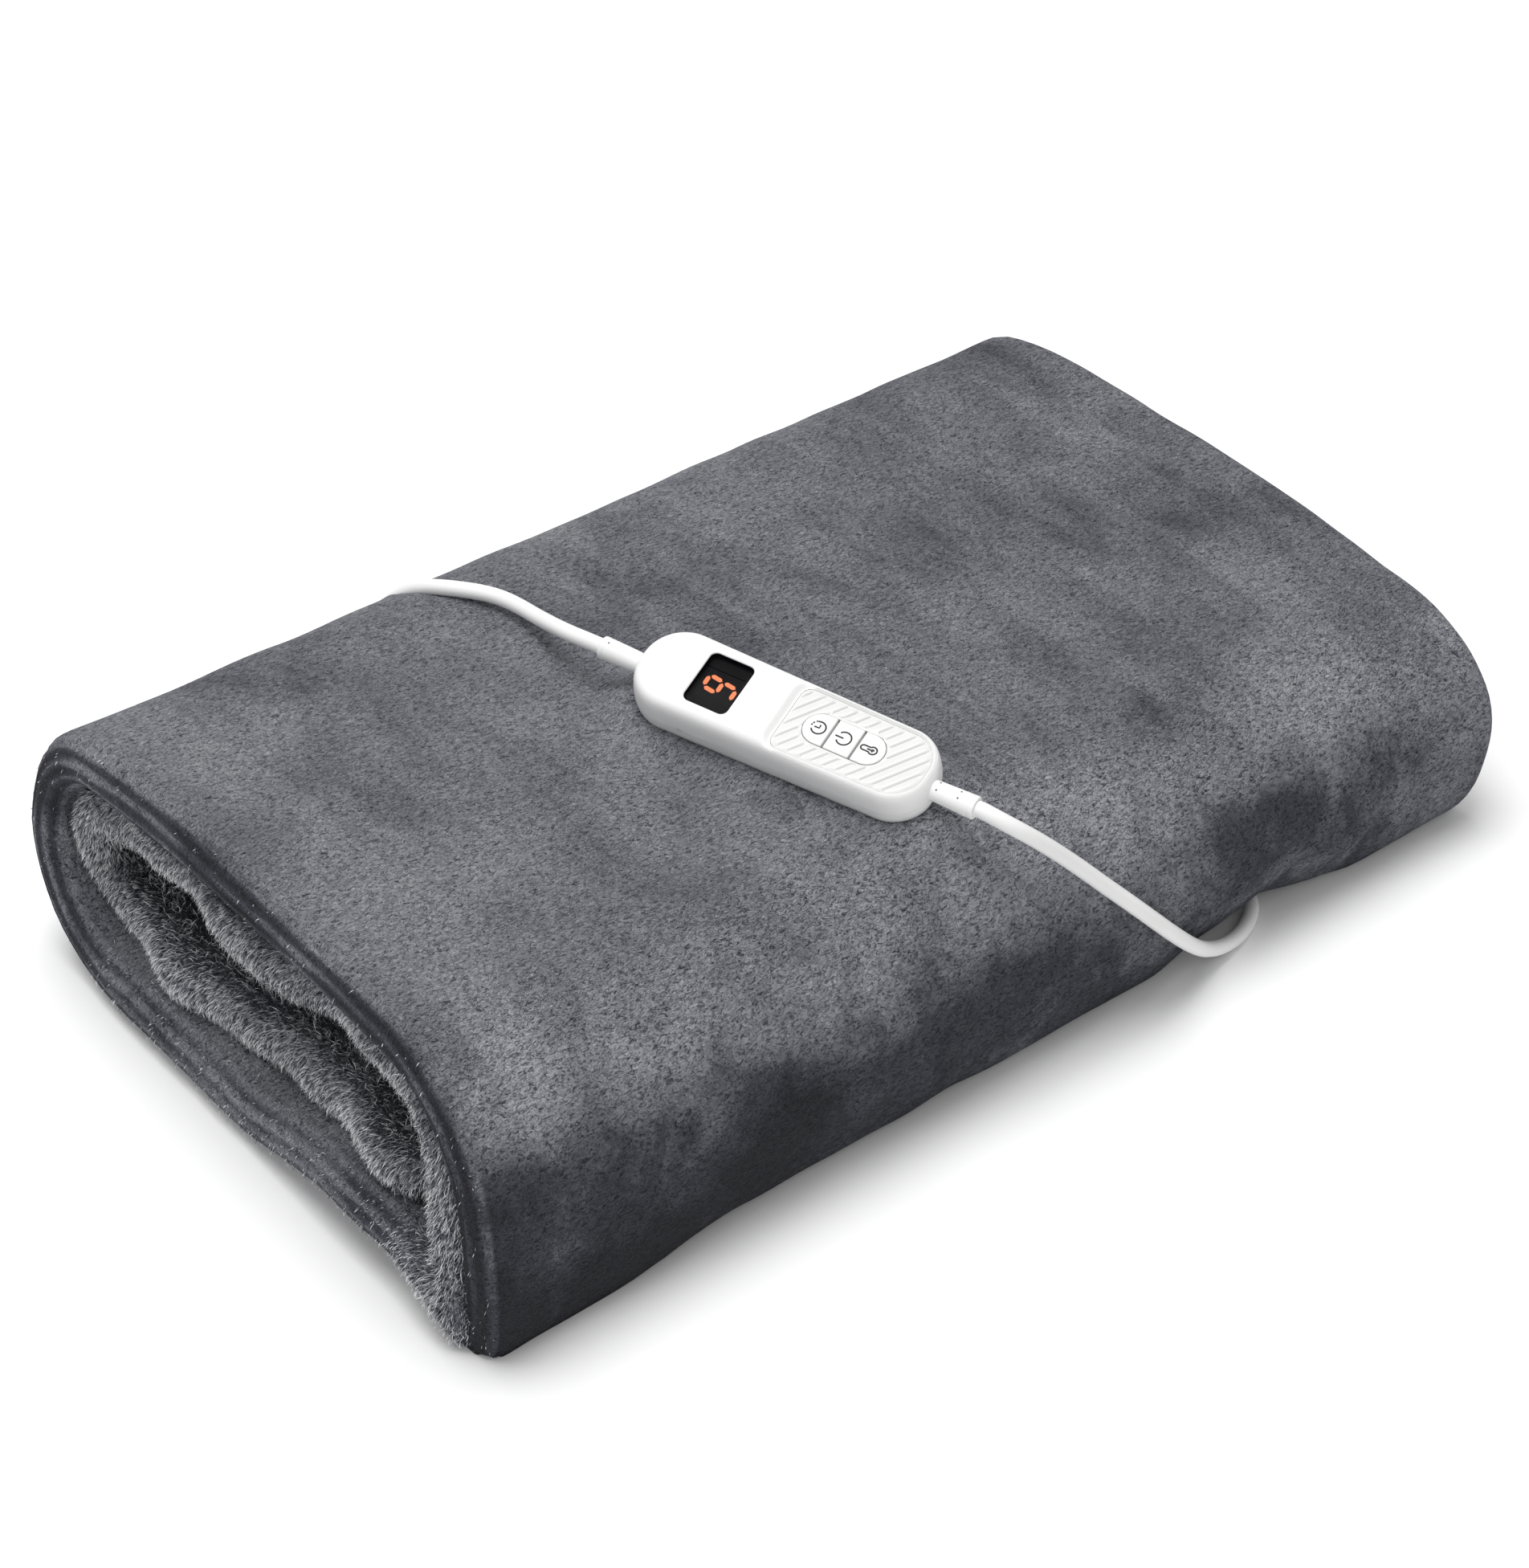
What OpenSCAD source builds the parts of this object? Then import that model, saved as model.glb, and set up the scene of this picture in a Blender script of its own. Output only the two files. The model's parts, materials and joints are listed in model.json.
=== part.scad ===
// Heated throw, folded in four and rolled flat, with its hand controller lying on top,
// its plug-in lead tucked under the front edge and its mains lead folded away behind.
// Frame: origin under the middle of the roll at floor level, +X along the roll,
// -Y towards the front, +Z up. Millimetres.

/* [Throw] */
// Length of the flat roll, along X
roll_length = 460; // [440:5:480]
// Width of the flat roll, front to back
roll_width = 282; // [276:2:296]
// Thickness of one wrap, which is the throw folded in four
wrap = 18.8; // [18.4:0.2:20]
// Thickness of one cloth ply, with its pile pressed down
cloth = 1.4; // [1:0.1:1.5]
// Room between the two plies, which holds the heating wire
wire_gap = 1.5; // [1.2:0.1:1.6]
// Width of the sewn edge binding
binding = 3; // [2:0.5:5]
// How much lower the far end of the roll lies, as a share of its height
far_sag = 0.12; // [0:0.01:0.16]
// How much the open end of the roll swells up, as a share of its height
near_loft = 0.18; // [0:0.01:0.2]

/* [Controller] */
// Length of the hand controller
casing_l = 114; // [110:1:120]
// Width of the controller at its display end
casing_w = 34.5; // [34:0.5:38]
// Width of the controller at its keypad end
casing_w2 = 32; // [31:0.5:35]
// Thickness of the controller
casing_h = 18; // [18:0.5:20]
// Wall thickness of the controller's shells
wall = 1.8; // [1.6:0.1:2]
// Height of the display window, along the controller
window_l = 17; // [16:0.5:18]
// Width of the display window, across the controller
window_w = 21.8; // [20:0.2:22]
// Height of the lit digit
digit_h = 12.7; // [10:0.1:13]
// Length of the three-button keypad
keypad_l = 31; // [30:0.5:33]
// Width of the keypad
keypad_w = 13; // [12:0.5:14]
// How far a button goes down when it is pressed
button_travel = 0.5; // [0.3:0.1:0.5]

/* [Leads] */
// Outside diameter of both leads
lead_d = 5.8; // [5:0.1:6]
// Diameter of a plug pin
pin_d = 4; // [3.8:0.1:4]
// Length of a plug pin outside the plug
pin_l = 19; // [18:0.5:19]
// Distance between the two plug pins
pin_pitch = 18.6; // [18:0.2:19]

/* [Part] */
// Sub-part to show

/* [Hidden] */
$fn = 48;

grey_cloth = [0.42, 0.43, 0.45];
dark_cloth = [0.34, 0.35, 0.37];
white_plastic = [0.93, 0.93, 0.92];
metal = [0.78, 0.77, 0.72];

// ---- small vector helpers ----
function unit(v) = v / norm(v);
function clamp(v, low, high) = max(low, min(high, v));

// ---- the throw: fold in four along X ----
// A fold station is [x, n, nx, nn]: a point of the folded sheet in the plane of X and the
// wrap's thickness n, and the side that the face ply is on.
ply_pitch = wrap / 4;
near_fold = -roll_length / 2 + 2 * ply_pitch;
far_fold = roll_length / 2 - ply_pitch;
hem = roll_length / 2 - 2 * ply_pitch;
run_stops = [-80, 28, 118];
function run_in(n, side) = [for (i = [2:-1:0]) [run_stops[i], n, 0, side]];
function run_out(n, side) = [for (x = run_stops) [x, n, 0, side]];
function fold_turn(x, n, r, from, to, side) =
    [for (i = [0:3]) let (a = from + (to - from) * i / 3)
        [x + r * cos(a), n + r * sin(a), side * cos(a), side * sin(a)]];
FOLD = concat(
    [[hem, -1.5 * ply_pitch, 0, -1], [hem - binding, -1.5 * ply_pitch, 0, -1]],
    run_in(-1.5 * ply_pitch, -1),
    fold_turn(near_fold, 0, 1.5 * ply_pitch, 270, 90, 1),
    run_out(1.5 * ply_pitch, 1),
    fold_turn(far_fold, ply_pitch, 0.5 * ply_pitch, 90, -90, 1),
    run_in(0.5 * ply_pitch, -1),
    fold_turn(near_fold, 0, 0.5 * ply_pitch, 90, 270, -1),
    run_out(-0.5 * ply_pitch, 1),
    [[hem - binding, -0.5 * ply_pitch, 0, 1], [hem, -0.5 * ply_pitch, 0, 1]]);

// ---- the throw: flat roll in the plane of Y and Z ----
// A roll station is [y, z, ny, nz]: a point of the wrap's middle and its outward side.
// The wraps run middle, lower inner, upper inner, bottom, top, and end under the front.
flat_run = roll_width - 5.5 * wrap;
front_turn = [-flat_run / 2, 2 * wrap];
back_turn = [flat_run / 2, 2.5 * wrap];
function forward(z) = [for (y = [1, 0, -1]) [y * flat_run / 4, z, 0, 1]];
function backward(z) = [for (y = [-1, 0, 1]) [y * flat_run / 4, z, 0, -1]];
function roll_turn(c, r, from, angles) =
    [for (a = angles) [c[0] + r * cos(from + a), c[1] + r * sin(from + a), cos(from + a), sin(from + a)]];
half_turn = [for (a = [0:30:180]) a];
end_angle = 131.8;
binding_angle = binding / (2.5 * wrap) * 180 / PI;
ROLL = concat(
    [[flat_run / 2, 2.5 * wrap, 0, 1], [flat_run / 2 - binding, 2.5 * wrap, 0, 1]],
    forward(2.5 * wrap), roll_turn(front_turn, 0.5 * wrap, 90, half_turn),
    backward(1.5 * wrap), roll_turn(back_turn, wrap, -90, half_turn),
    forward(3.5 * wrap), roll_turn(front_turn, 1.5 * wrap, 90, half_turn),
    backward(0.5 * wrap), roll_turn(back_turn, 2 * wrap, -90, half_turn),
    forward(4.5 * wrap),
    roll_turn(front_turn, 2.5 * wrap, 90, [0, 30, 60, 90, 110, end_angle - binding_angle, end_angle]));
U_LAST = len(FOLD) - 1;
V_LAST = len(ROLL) - 1;

// ---- how the soft roll settles ----
// The open end swells, the far end sags, the ends of the wraps are staggered, and the
// underside arches over the connector near the front.
roll_height = 5 * wrap;
centre_shift = [1.3, 4.9];
widening = 0.028;
near_shift = 4.4;
cross_sag = 0.02;
front_fullness = 0.08;
end_lean = 2.9;
end_stagger = 10.2;
end_curve = 12.4;
arch_h = 13.5;
arch_y = [-128, -92, -39.8, 4.9];
crossing_x = 118;
crossing_reach = 90;
crossing_h = 8;
function arch(y) = arch_h * clamp(min((y - arch_y[0]) / (arch_y[1] - arch_y[0]),
    (arch_y[3] - y) / (arch_y[3] - arch_y[2])), 0, 1);
function crossing(x, y) = crossing_h * max(0, 1 - abs(x - crossing_x) / crossing_reach)
    * clamp((-60 - y) / 35, 0, 1);
function settle(p) =
    let (X = p[0] / (roll_length / 2), Y = p[1] / (roll_width / 2))
    let (near = max(0, -X), far = max(0, X), open = (1 - X) / 2, z_rel = p[2] / (roll_height / 2) - 1)
    let (x = p[0] + end_lean * z_rel * near * near
            - (end_stagger * z_rel * z_rel + end_curve * Y * Y) * far * far)
    let (y = p[1] * (1 + widening * X) + near_shift * open)
    let (grow = (1 - far_sag * X - cross_sag * Y * open + near_loft * (1 - Y * Y) * open * open)
            * (1 + front_fullness * pow(clamp(-Y - 0.3, 0, 1), 2) / 0.49))
    let (lift = max(arch(y + centre_shift[1]), crossing(x + centre_shift[0], y + centre_shift[1])))
    [x + centre_shift[0], y + centre_shift[1], lift + p[2] * (grow - lift / roll_height)];
half_throw = wire_gap / 2 + cloth;
floor_gap = wrap / 2 - 1.5 * ply_pitch - half_throw;
// A point of the throw: fold station u, roll station v, offset from the middle of the throw
function throw_at(u, v, off) =
    let (f = FOLD[u], r = ROLL[v], n = f[1] + off * f[3])
    settle([f[0] + off * f[2], r[0] + n * r[2], r[1] + n * r[3] - floor_gap]);

// ---- closed solids from rings and grids ----
function ring_faces(rings, sides) = [for (i = [0:rings - 2], j = [0:sides - 1])
    let (a = i * sides + j, b = i * sides + (j + 1) % sides)
    each [[a, b + sides, b], [a, a + sides, b + sides]]];
function cap_faces(rings, sides) = [
    [for (j = [0:sides - 1]) j], [for (j = [sides - 1:-1:0]) (rings - 1) * sides + j]];
function tube_faces(rings, sides) = concat(ring_faces(rings, sides), cap_faces(rings, sides));
function tangent(p, i) = unit(p[min(i + 1, len(p) - 1)] - p[max(i - 1, 0)]);
function square_to(side, along) = unit(side - (side * along) * along);
// The sideways direction at each point of a route, carried along without twisting
function carried(p, side, i = 0) = i == len(p) ? [] :
    let (now = square_to(side, tangent(p, i))) concat([now], carried(p, now, i + 1));
// A round tube through the points of a route
module tube(p, d, side, sides = 8) {
    s = carried(p, side);
    points = [for (i = [0:len(p) - 1], j = [0:sides - 1])
        let (t = tangent(p, i), a = 360 * j / sides)
        p[i] + d / 2 * (cos(a) * s[i] + sin(a) * cross(t, s[i]))];
    polyhedron(points, tube_faces(len(p), sides));
}

// One cloth ply of the throw, between two offsets from its middle
module ply(low, high) {
    nu = U_LAST - 1;
    nv = V_LAST - 1;
    points = [for (off = [low, high], i = [1:nu], j = [1:nv]) throw_at(i, j, off)];
    side = nu * nv;
    function at(k, i, j) = k * side + i * nv + j;
    skins = [for (i = [0:nu - 2], j = [0:nv - 2]) each [
        [at(0, i, j), at(0, i + 1, j + 1), at(0, i + 1, j)],
        [at(0, i, j), at(0, i, j + 1), at(0, i + 1, j + 1)],
        [at(1, i, j), at(1, i + 1, j), at(1, i + 1, j + 1)],
        [at(1, i, j), at(1, i + 1, j + 1), at(1, i, j + 1)]]];
    function rim(a, b) = [[a, b + side, b], [a, a + side, b + side]];
    rims = concat(
        [for (i = [0:nu - 2]) each rim(at(0, i + 1, 0), at(0, i, 0))],
        [for (i = [0:nu - 2]) each rim(at(0, i, nv - 1), at(0, i + 1, nv - 1))],
        [for (j = [0:nv - 2]) each rim(at(0, 0, j), at(0, 0, j + 1))],
        [for (j = [0:nv - 2]) each rim(at(0, nu - 1, j + 1), at(0, nu - 1, j))]);
    polyhedron(points, concat(skins, rims));
}

module face_ply() {
    color(grey_cloth) ply(wire_gap / 2, half_throw);
}

module back_ply() {
    color(dark_cloth) ply(-half_throw, -wire_gap / 2);
}

// Stations round the edge of the throw, as [u, v]
EDGE = concat(
    [for (v = [0, each [for (j = [2:V_LAST - 2]) j]]) [0, v]],
    [for (u = [0, each [for (i = [2:U_LAST - 2]) i]]) [u, V_LAST]],
    [for (v = [V_LAST, each [for (j = [V_LAST - 2:-1:2]) j]]) [U_LAST, v]],
    [for (u = [U_LAST, each [for (i = [U_LAST - 2:-1:2]) i]]) [u, 0]]);
module hem_binding() {
    n = len(EDGE);
    points = [for (e = EDGE)
        let (inner = [clamp(e[0], 1, U_LAST - 1), clamp(e[1], 1, V_LAST - 1)])
        each [throw_at(e[0], e[1], -half_throw), throw_at(e[0], e[1], half_throw),
            throw_at(inner[0], inner[1], half_throw), throw_at(inner[0], inner[1], -half_throw)]];
    faces = [for (i = [0:n - 1], j = [0:3])
        let (next = (i + 1) % n, a = i * 4 + j, b = i * 4 + (j + 1) % 4)
        let (c = next * 4 + (j + 1) % 4, d = next * 4 + j)
        each [[a, b, c], [a, c, d]]];
    color(dark_cloth) polyhedron(points, faces);
}

// The heating wire goes back along the hem, then to and fro over the throw
wire_rows = [3, 9, 14, 22, 27, 33, 39, 47];
wire_start = 2;
wire_ends = [3, U_LAST - 3];
function between(from, to) =
    from < to ? [for (k = [from + 1:to - 1]) k] : [for (k = [from - 1:-1:to + 1]) k];
WIRE = concat(
    [for (v = [V_LAST - 2:-1:4]) [wire_start, v]],
    [for (k = [0:len(wire_rows) - 1])
        let (from = wire_ends[k % 2], to = wire_ends[1 - k % 2])
        each concat([[from, wire_rows[k]]], [for (u = between(from, to)) [u, wire_rows[k]]],
            [[to, wire_rows[k]]], k == len(wire_rows) - 1 ? [] :
                [for (v = between(wire_rows[k], wire_rows[k + 1])) [to, v]])]);
module heating_wire() {
    wire_r = wire_gap / 2 - 0.08;
    sides = 6;
    path = [for (w = WIRE) throw_at(w[0], w[1], 0)];
    points = [for (i = [0:len(WIRE) - 1], j = [0:sides - 1])
        let (up = throw_at(WIRE[i][0], WIRE[i][1], wire_r) - path[i])
        let (across = unit(cross(tangent(path, i), up)) * wire_r, a = 360 * j / sides)
        path[i] + cos(a) * up + sin(a) * across];
    color("darkred") polyhedron(points, tube_faces(len(path), sides));
}

// ---- plain shapes ----
// A flat plate with round corners, centred in X and Y, standing on z = 0
module plate(l, w, h, r) {
    linear_extrude(h) union() {
        square([l, w - 2 * r], center = true);
        square([l - 2 * r, w], center = true);
        for (x = [-1, 1], y = [-1, 1]) translate([x * (l / 2 - r), y * (w / 2 - r)]) circle(r);
    }
}
module stadium(l, w) {
    square([l - w, w], center = true);
    for (x = [-1, 1]) translate([x * (l - w) / 2, 0]) circle(w / 2);
}
module block(l, w, h) {
    translate([-l / 2, -w / 2, 0]) cube([l, w, h]);
}
// A cylinder along +X from x = 0
module rod(d, l, d2 = undef) {
    rotate([0, 90, 0]) cylinder(h = l, d1 = d, d2 = is_undef(d2) ? d : d2);
}

// ---- the controller, in its own frame: +X towards the keypad, +Z out of its face ----
controller_at = [-38, -48, 116.4];
controller_turn = [15, 3.5, -70];
module on_controller() {
    translate(controller_at) rotate(controller_turn) children();
}
function turned(p, a) = let (
    x = [p[0], p[1] * cos(a[0]) - p[2] * sin(a[0]), p[1] * sin(a[0]) + p[2] * cos(a[0])],
    y = [x[0] * cos(a[1]) + x[2] * sin(a[1]), x[1], -x[0] * sin(a[1]) + x[2] * cos(a[1])])
    [y[0] * cos(a[2]) - y[1] * sin(a[2]), y[0] * sin(a[2]) + y[1] * cos(a[2]), y[2]];
function on_controller_at(p) = controller_at + turned(p, controller_turn);

half_h = casing_h / 2;
parting_z = -1;
ledge_z = 4.5;
panel_z = 5.7;
panel_top = 7.3;
panel_x = 0.5;
panel_inset = 3;
window_x = -25.5;
keypad_x = 23;
corner_r = 16;
corner_r2 = 14;
// Outline of the casing, moved inwards by inset
function casing_outline(inset) = [for (c = [
        [casing_l / 2 - corner_r2, casing_w2 / 2 - corner_r2, corner_r2, 0],
        [corner_r - casing_l / 2, casing_w / 2 - corner_r, corner_r, 90],
        [corner_r - casing_l / 2, corner_r - casing_w / 2, corner_r, 180],
        [casing_l / 2 - corner_r2, corner_r2 - casing_w2 / 2, corner_r2, 270]],
    a = [0:15:90]) [c[0] + (c[2] - inset) * cos(c[3] + a), c[1] + (c[2] - inset) * sin(c[3] + a)]];
// The casing's rounded form, moved inwards by g
casing_levels = [[-9, 4], [-8, 1.8], [-5.5, 0.4], [-1, 0], [5, 0.6], [7.6, 2], [8.7, 4.2], [9, 7]];
module casing(g) {
    hull() for (level = casing_levels)
        translate([0, 0, level[0] * (half_h - g) / 9])
            linear_extrude(0.01) polygon(casing_outline(level[1] + g));
}
module above(z) {
    translate([-100, -50, z]) cube([200, 100, 50]);
}
module panel_zone(inset, from, to) {
    translate([0, 0, from]) linear_extrude(to - from) intersection() {
        polygon(casing_outline(inset));
        translate([panel_x, -50]) square([100, 100]);
    }
}
display_screws = [[-45, 10.5], [-45, -10.5]];
keypad_screws = [[48, 8.5], [48, -8.5]];
screw_places = concat(display_screws, keypad_screws);
module lead_holes() {
    for (s = [-1, 1]) translate([s < 0 ? -casing_l / 2 - 5 : casing_l / 2 - 10, 0, 0]) rod(7.4, 15);
}

module upper_shell() {
    color(white_plastic) on_controller() difference() {
        union() {
            difference() {
                intersection() {
                    casing(0);
                    above(parting_z);
                }
                difference() {
                    casing(wall);
                    panel_zone(0, ledge_z, 20);
                }
            }
            for (p = display_screws) translate([p[0], p[1], parting_z]) cylinder(h = 8.2, d = 5.6);
            for (p = keypad_screws) translate([p[0], p[1], parting_z]) cylinder(h = 5.6, d = 5.6);
        }
        panel_zone(panel_inset, panel_z, 20);
        translate([window_x, 0, 6]) plate(window_l, window_w, 10, 2.5);
        translate([keypad_x, 0, 0]) linear_extrude(10) stadium(keypad_l, keypad_w);
        for (p = screw_places) translate([p[0], p[1], parting_z - 1]) cylinder(h = 5.5, r = 1.35);
        lead_holes();
    }
}

module lower_shell() {
    color(white_plastic) on_controller() difference() {
        union() {
            difference() {
                casing(0);
                above(parting_z - 0.1);
                casing(wall);
            }
            for (p = screw_places) translate([p[0], p[1], -8.5]) cylinder(h = 7.4, d = 5.6);
        }
        for (p = screw_places) translate([p[0], p[1], -10]) {
            cylinder(h = 12, r = 1.5);
            cylinder(h = 3.2, r = 2.4);
        }
        lead_holes();
    }
}

module shell_screws() {
    color(metal) on_controller() for (p = screw_places) translate([p[0], p[1], -8.3]) {
        cylinder(h = 1.5, r = 2.2);
        cylinder(h = 10.5, r = 1.3);
    }
}

module display_window() {
    color("black") on_controller() translate([window_x, 0, 0]) {
        translate([0, 0, 6.2]) plate(window_l + 1.6, window_w + 0.2, 0.7, 3.3);
        translate([0, 0, 6.9]) plate(window_l - 0.1, window_w - 0.1, 2, 2.45);
    }
}

digit_module_h = 6.8;
module digit_module() {
    color([0.1, 0.1, 0.1]) on_controller() translate([window_x, 0, parting_z])
        block(19, 12.7, digit_module_h);
}

// A lit bar of the digit, between two points of its skeleton
module segment(a, b) {
    d = b - a;
    t = 0.75;
    g = 0.55;
    l = norm(d) - g;
    translate([a[0], a[1], 0]) rotate(atan2(d[1], d[0])) linear_extrude(0.2)
        polygon([[g, 0], [g + t, t], [l - t, t], [l, 0], [l - t, -t], [g + t, -t]]);
}
digit_w = digit_h * 0.52;
digit_lean = 0.12;
// Corners of the digit's skeleton: three rows of two, the top row towards the lead
digit_corners = [for (row = [-1:1], side = [-0.5, 0.5])
    [row * (digit_h / 2 - 0.75), side * (digit_w - 1.5) - row * digit_h * digit_lean / 2]];
nine = [[0, 1], [0, 2], [1, 3], [2, 3], [3, 5], [4, 5]];
module digit_segments() {
    color([1, 0.45, 0.2]) on_controller() translate([window_x, 0, parting_z + digit_module_h])
        for (s = nine) segment(digit_corners[s[0]], digit_corners[s[1]]);
}

rib_pitch = 3.6;
rib_h = 0.35;
module button_panel() {
    color(white_plastic) on_controller() difference() {
        union() {
            panel_zone(panel_inset + 0.1, panel_z, panel_top - rib_h);
            intersection() {
                panel_zone(panel_inset + 0.1, panel_z, panel_top);
                for (k = [-1:17]) translate([k * rib_pitch, 0, 0]) rotate(-38)
                    translate([-0.7, -40, panel_top - rib_h - 0.1]) cube([1.4, 80, 1]);
            }
        }
        translate([keypad_x, 0, 0]) linear_extrude(10) stadium(keypad_l, keypad_w);
    }
}

// A button cap, cut from the keypad's stadium between x = from and x = to
button_top = 7.6;
flange_z = 3.2;
button_split = keypad_l / 6;
module button(from, to, middle) {
    gap = 0.15;
    module slice(out) {
        intersection() {
            translate([keypad_x, 0]) stadium(keypad_l + 2 * out, keypad_w + 2 * out);
            translate([keypad_x + from + gap, -20]) square([to - from - 2 * gap, 40]);
        }
    }
    translate([0, 0, flange_z]) linear_extrude(1) slice(0.7);
    translate([0, 0, flange_z + 1]) linear_extrude(button_top - flange_z - 1) slice(-0.25);
    translate([keypad_x + middle, 0, flange_z - 0.6]) cylinder(h = 0.6, r = 2);
}
button_middle = keypad_l / 3;
module timer_button() {
    color(white_plastic) on_controller() button(-30, -button_split, -button_middle + 0.6);
}
module power_button() {
    color(white_plastic) on_controller() button(-button_split, button_split, 0);
}
module heat_button() {
    color(white_plastic) on_controller() button(button_split, 30, button_middle - 0.6);
}

plunger_top = flange_z - 0.6;
module plunger(x) {
    color([0.15, 0.15, 0.15]) on_controller() translate([keypad_x + x, 0, plunger_top - 1.6])
        cylinder(h = 1.6, r = 1.65);
}
module timer_plunger() {
    plunger(-button_middle + 0.6);
}
module power_plunger() {
    plunger(0);
}
module heat_plunger() {
    plunger(button_middle - 0.6);
}
module switch_bodies() {
    color([0.2, 0.2, 0.2]) on_controller() for (x = [-1, 0, 1])
        translate([keypad_x + x * (button_middle - 0.6), 0, parting_z]) difference() {
            block(6, 6, 2.8);
            translate([0, 0, 1.3]) cylinder(h = 2, r = 1.8);
        }
}

board_h = 1.6;
board_l = 76;
module circuit_board() {
    color("darkgreen") on_controller() translate([0.5, 0, parting_z - board_h])
        plate(board_l, 26.5, board_h, 2);
}
module controller_chip() {
    color([0.12, 0.12, 0.12]) on_controller() translate([20, 0, parting_z - board_h - 1.6])
        block(10, 6, 1.6);
}
module triac() {
    color([0.12, 0.12, 0.12]) on_controller() translate([-3, 4, parting_z]) block(10, 14, 4.4);
}
module fuse() {
    color([0.85, 0.85, 0.8]) on_controller() translate([-18, -6, -4.7]) rod(4, 15);
}
module suppressor_capacitor() {
    color([0.75, 0.6, 0.2]) on_controller() translate([-3, -8, parting_z]) block(13, 5, 5.2);
}

// ---- where the leads enter the controller ----
clamp_x = 42.5;
relief_out = 16;
module relief(side) {
    on_controller() mirror([side < 0 ? 1 : 0, 0, 0]) translate([casing_l / 2, 0, 0]) difference() {
        union() {
            translate([-6, 0, 0]) rod(7.2, 6);
            rod(7.2, relief_out, 8.2);
            translate([-6, 0, 0]) rod(8.8, 2.4);
        }
        translate([-7, 0, 0]) rod(lead_d + 0.1, relief_out + 8);
    }
}
module mains_relief() {
    color(white_plastic) relief(-1);
}
module blanket_relief() {
    color(white_plastic) relief(1);
}
// The end of a lead inside the controller: its sheath, then its insulated conductors
module lead_end(side, conductors) {
    on_controller() mirror([side < 0 ? 1 : 0, 0, 0]) {
        translate([clamp_x - 3, 0, 0]) rod(lead_d, casing_l / 2 + relief_out - clamp_x + 3);
        for (y = conductors) translate([36, y, parting_z + 0.8]) rod(1.6, clamp_x - 39);
    }
}
module mains_conductors() {
    color("gainsboro") lead_end(-1, [-1.2, 1.2]);
}
module blanket_conductors() {
    color("gainsboro") lead_end(1, [-1.9, 0, 1.9]);
}
module clamp_places() {
    on_controller() for (s = [-1, 1]) translate([s * clamp_x, 0, 0]) children();
}
clamp_screw_y = 5.6;
clamp_top = 2.4;
module cord_clamps() {
    color([0.85, 0.85, 0.82]) clamp_places() difference() {
        union() {
            translate([0, 0, -7.2]) block(5, 15, 5.2);
            translate([0, 0, -1.9]) block(5, 15, clamp_top + 1.9);
            translate([0, 0, 0]) block(5, lead_d + 1.4, 3.9);
        }
        translate([-5, 0, 0]) rod(lead_d, 10);
        for (y = [-1, 1]) translate([0, y * clamp_screw_y, -6.5]) cylinder(h = 12, r = 1.05);
    }
}
module clamp_screws() {
    color(metal) clamp_places() for (y = [-1, 1]) translate([0, y * clamp_screw_y, -6.4]) {
        cylinder(h = clamp_top + 6.4, r = 1);
        translate([0, 0, clamp_top + 6.4]) cylinder(h = 0.9, r = 1.85);
    }
}

// ---- the leads ----
// The mains lead leaves the display end, goes over the back edge and down to the floor.
// Points are chosen by hand, from the strain relief's end on.
lead_z = lead_d / 2;
MAINS_ROUTE = concat(
    [for (x = [0, 7]) on_controller_at([-casing_l / 2 - relief_out - x, 0, 0])],
    [[-66.2, 36, 119.3], [-64.6, 47, 115.2], [-62.6, 58.5, 110.6], [-61, 70.5, 107], [-61.6, 81, 105.5],
    [-64.6, 89, 104.9], [-69, 96.5, 104.4], [-73.5, 103.5, 103.8], [-77.5, 110.5, 101.8], [-80, 117.5, 98.5],
    [-81.3, 124.5, 93.6], [-82, 131.6, 86.6], [-82.4, 138.2, 77.7], [-82.5, 143.5, 66.8], [-82.4, 147, 54.5],
    [-82, 149, 41.5], [-81, 150, 29], [-77.5, 150, 17.8], [-69.8, 148.6, 9.5], [-59.5, 145.8, 4.8],
    [-49.5, 143, 3], [-41, 141.7, 2.9]]);
// The throw's own lead leaves the keypad end, goes down the front face, tucks under the
// front edge, lies in one slack loop under the roll and ends in its connector.
BLANKET_ROUTE = concat(
    [for (x = [0, 4]) on_controller_at([casing_l / 2 + relief_out + x, 0, 0])],
    [[-8, -127.5, 109], [-0.5, -130.3, 101.8], [8.5, -132.6, 92], [18.5, -134.9, 80.5],
    [28, -137.8, 69], [37, -140.7, 58.5], [46.5, -142.8, 47], [56, -143.5, 35.5], [65.5, -142.7, 24.5],
    [75, -140.7, 14.5], [84.5, -138.5, 7.5], [94, -137, 3.8], [103, -134.7, 2.9],
    [113, -129.2, 2.9], [119.4, -119.7, 2.9], [120.6, -108.4, 2.9], [116.5, -97.7, 2.9], [108, -90.2, 2.9],
    [96.8, -87.5, 2.9], [60, -87.5, 2.9], [20, -87.5, 2.9], [-20, -87.5, 2.9], [-60, -87.5, 2.9],
    [-72, -84.3, 2.9], [-80.8, -75.5, 2.9], [-84, -63.5, 2.9], [-80.8, -51.5, 2.9], [-72, -42.7, 2.9],
    [-60, -39.5, 2.9], [-20, -39.5, 2.9], [20, -39.5, 2.9], [60, -39.5, 2.9], [100, -39.5, 2.9],
    [112, -42.7, 2.9], [120.8, -51.5, 2.9], [124, -63.5, 2.9], [124.3, -74, 3.4],
    [127.5, -84.5, 4.4], [133.5, -92, 5.3], [141.5, -95.5, 5.9], [148, -95.5, 5.9]]);
module mains_lead() {
    color(white_plastic) tube(MAINS_ROUTE, lead_d, [1, 0, 0]);
}
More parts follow.
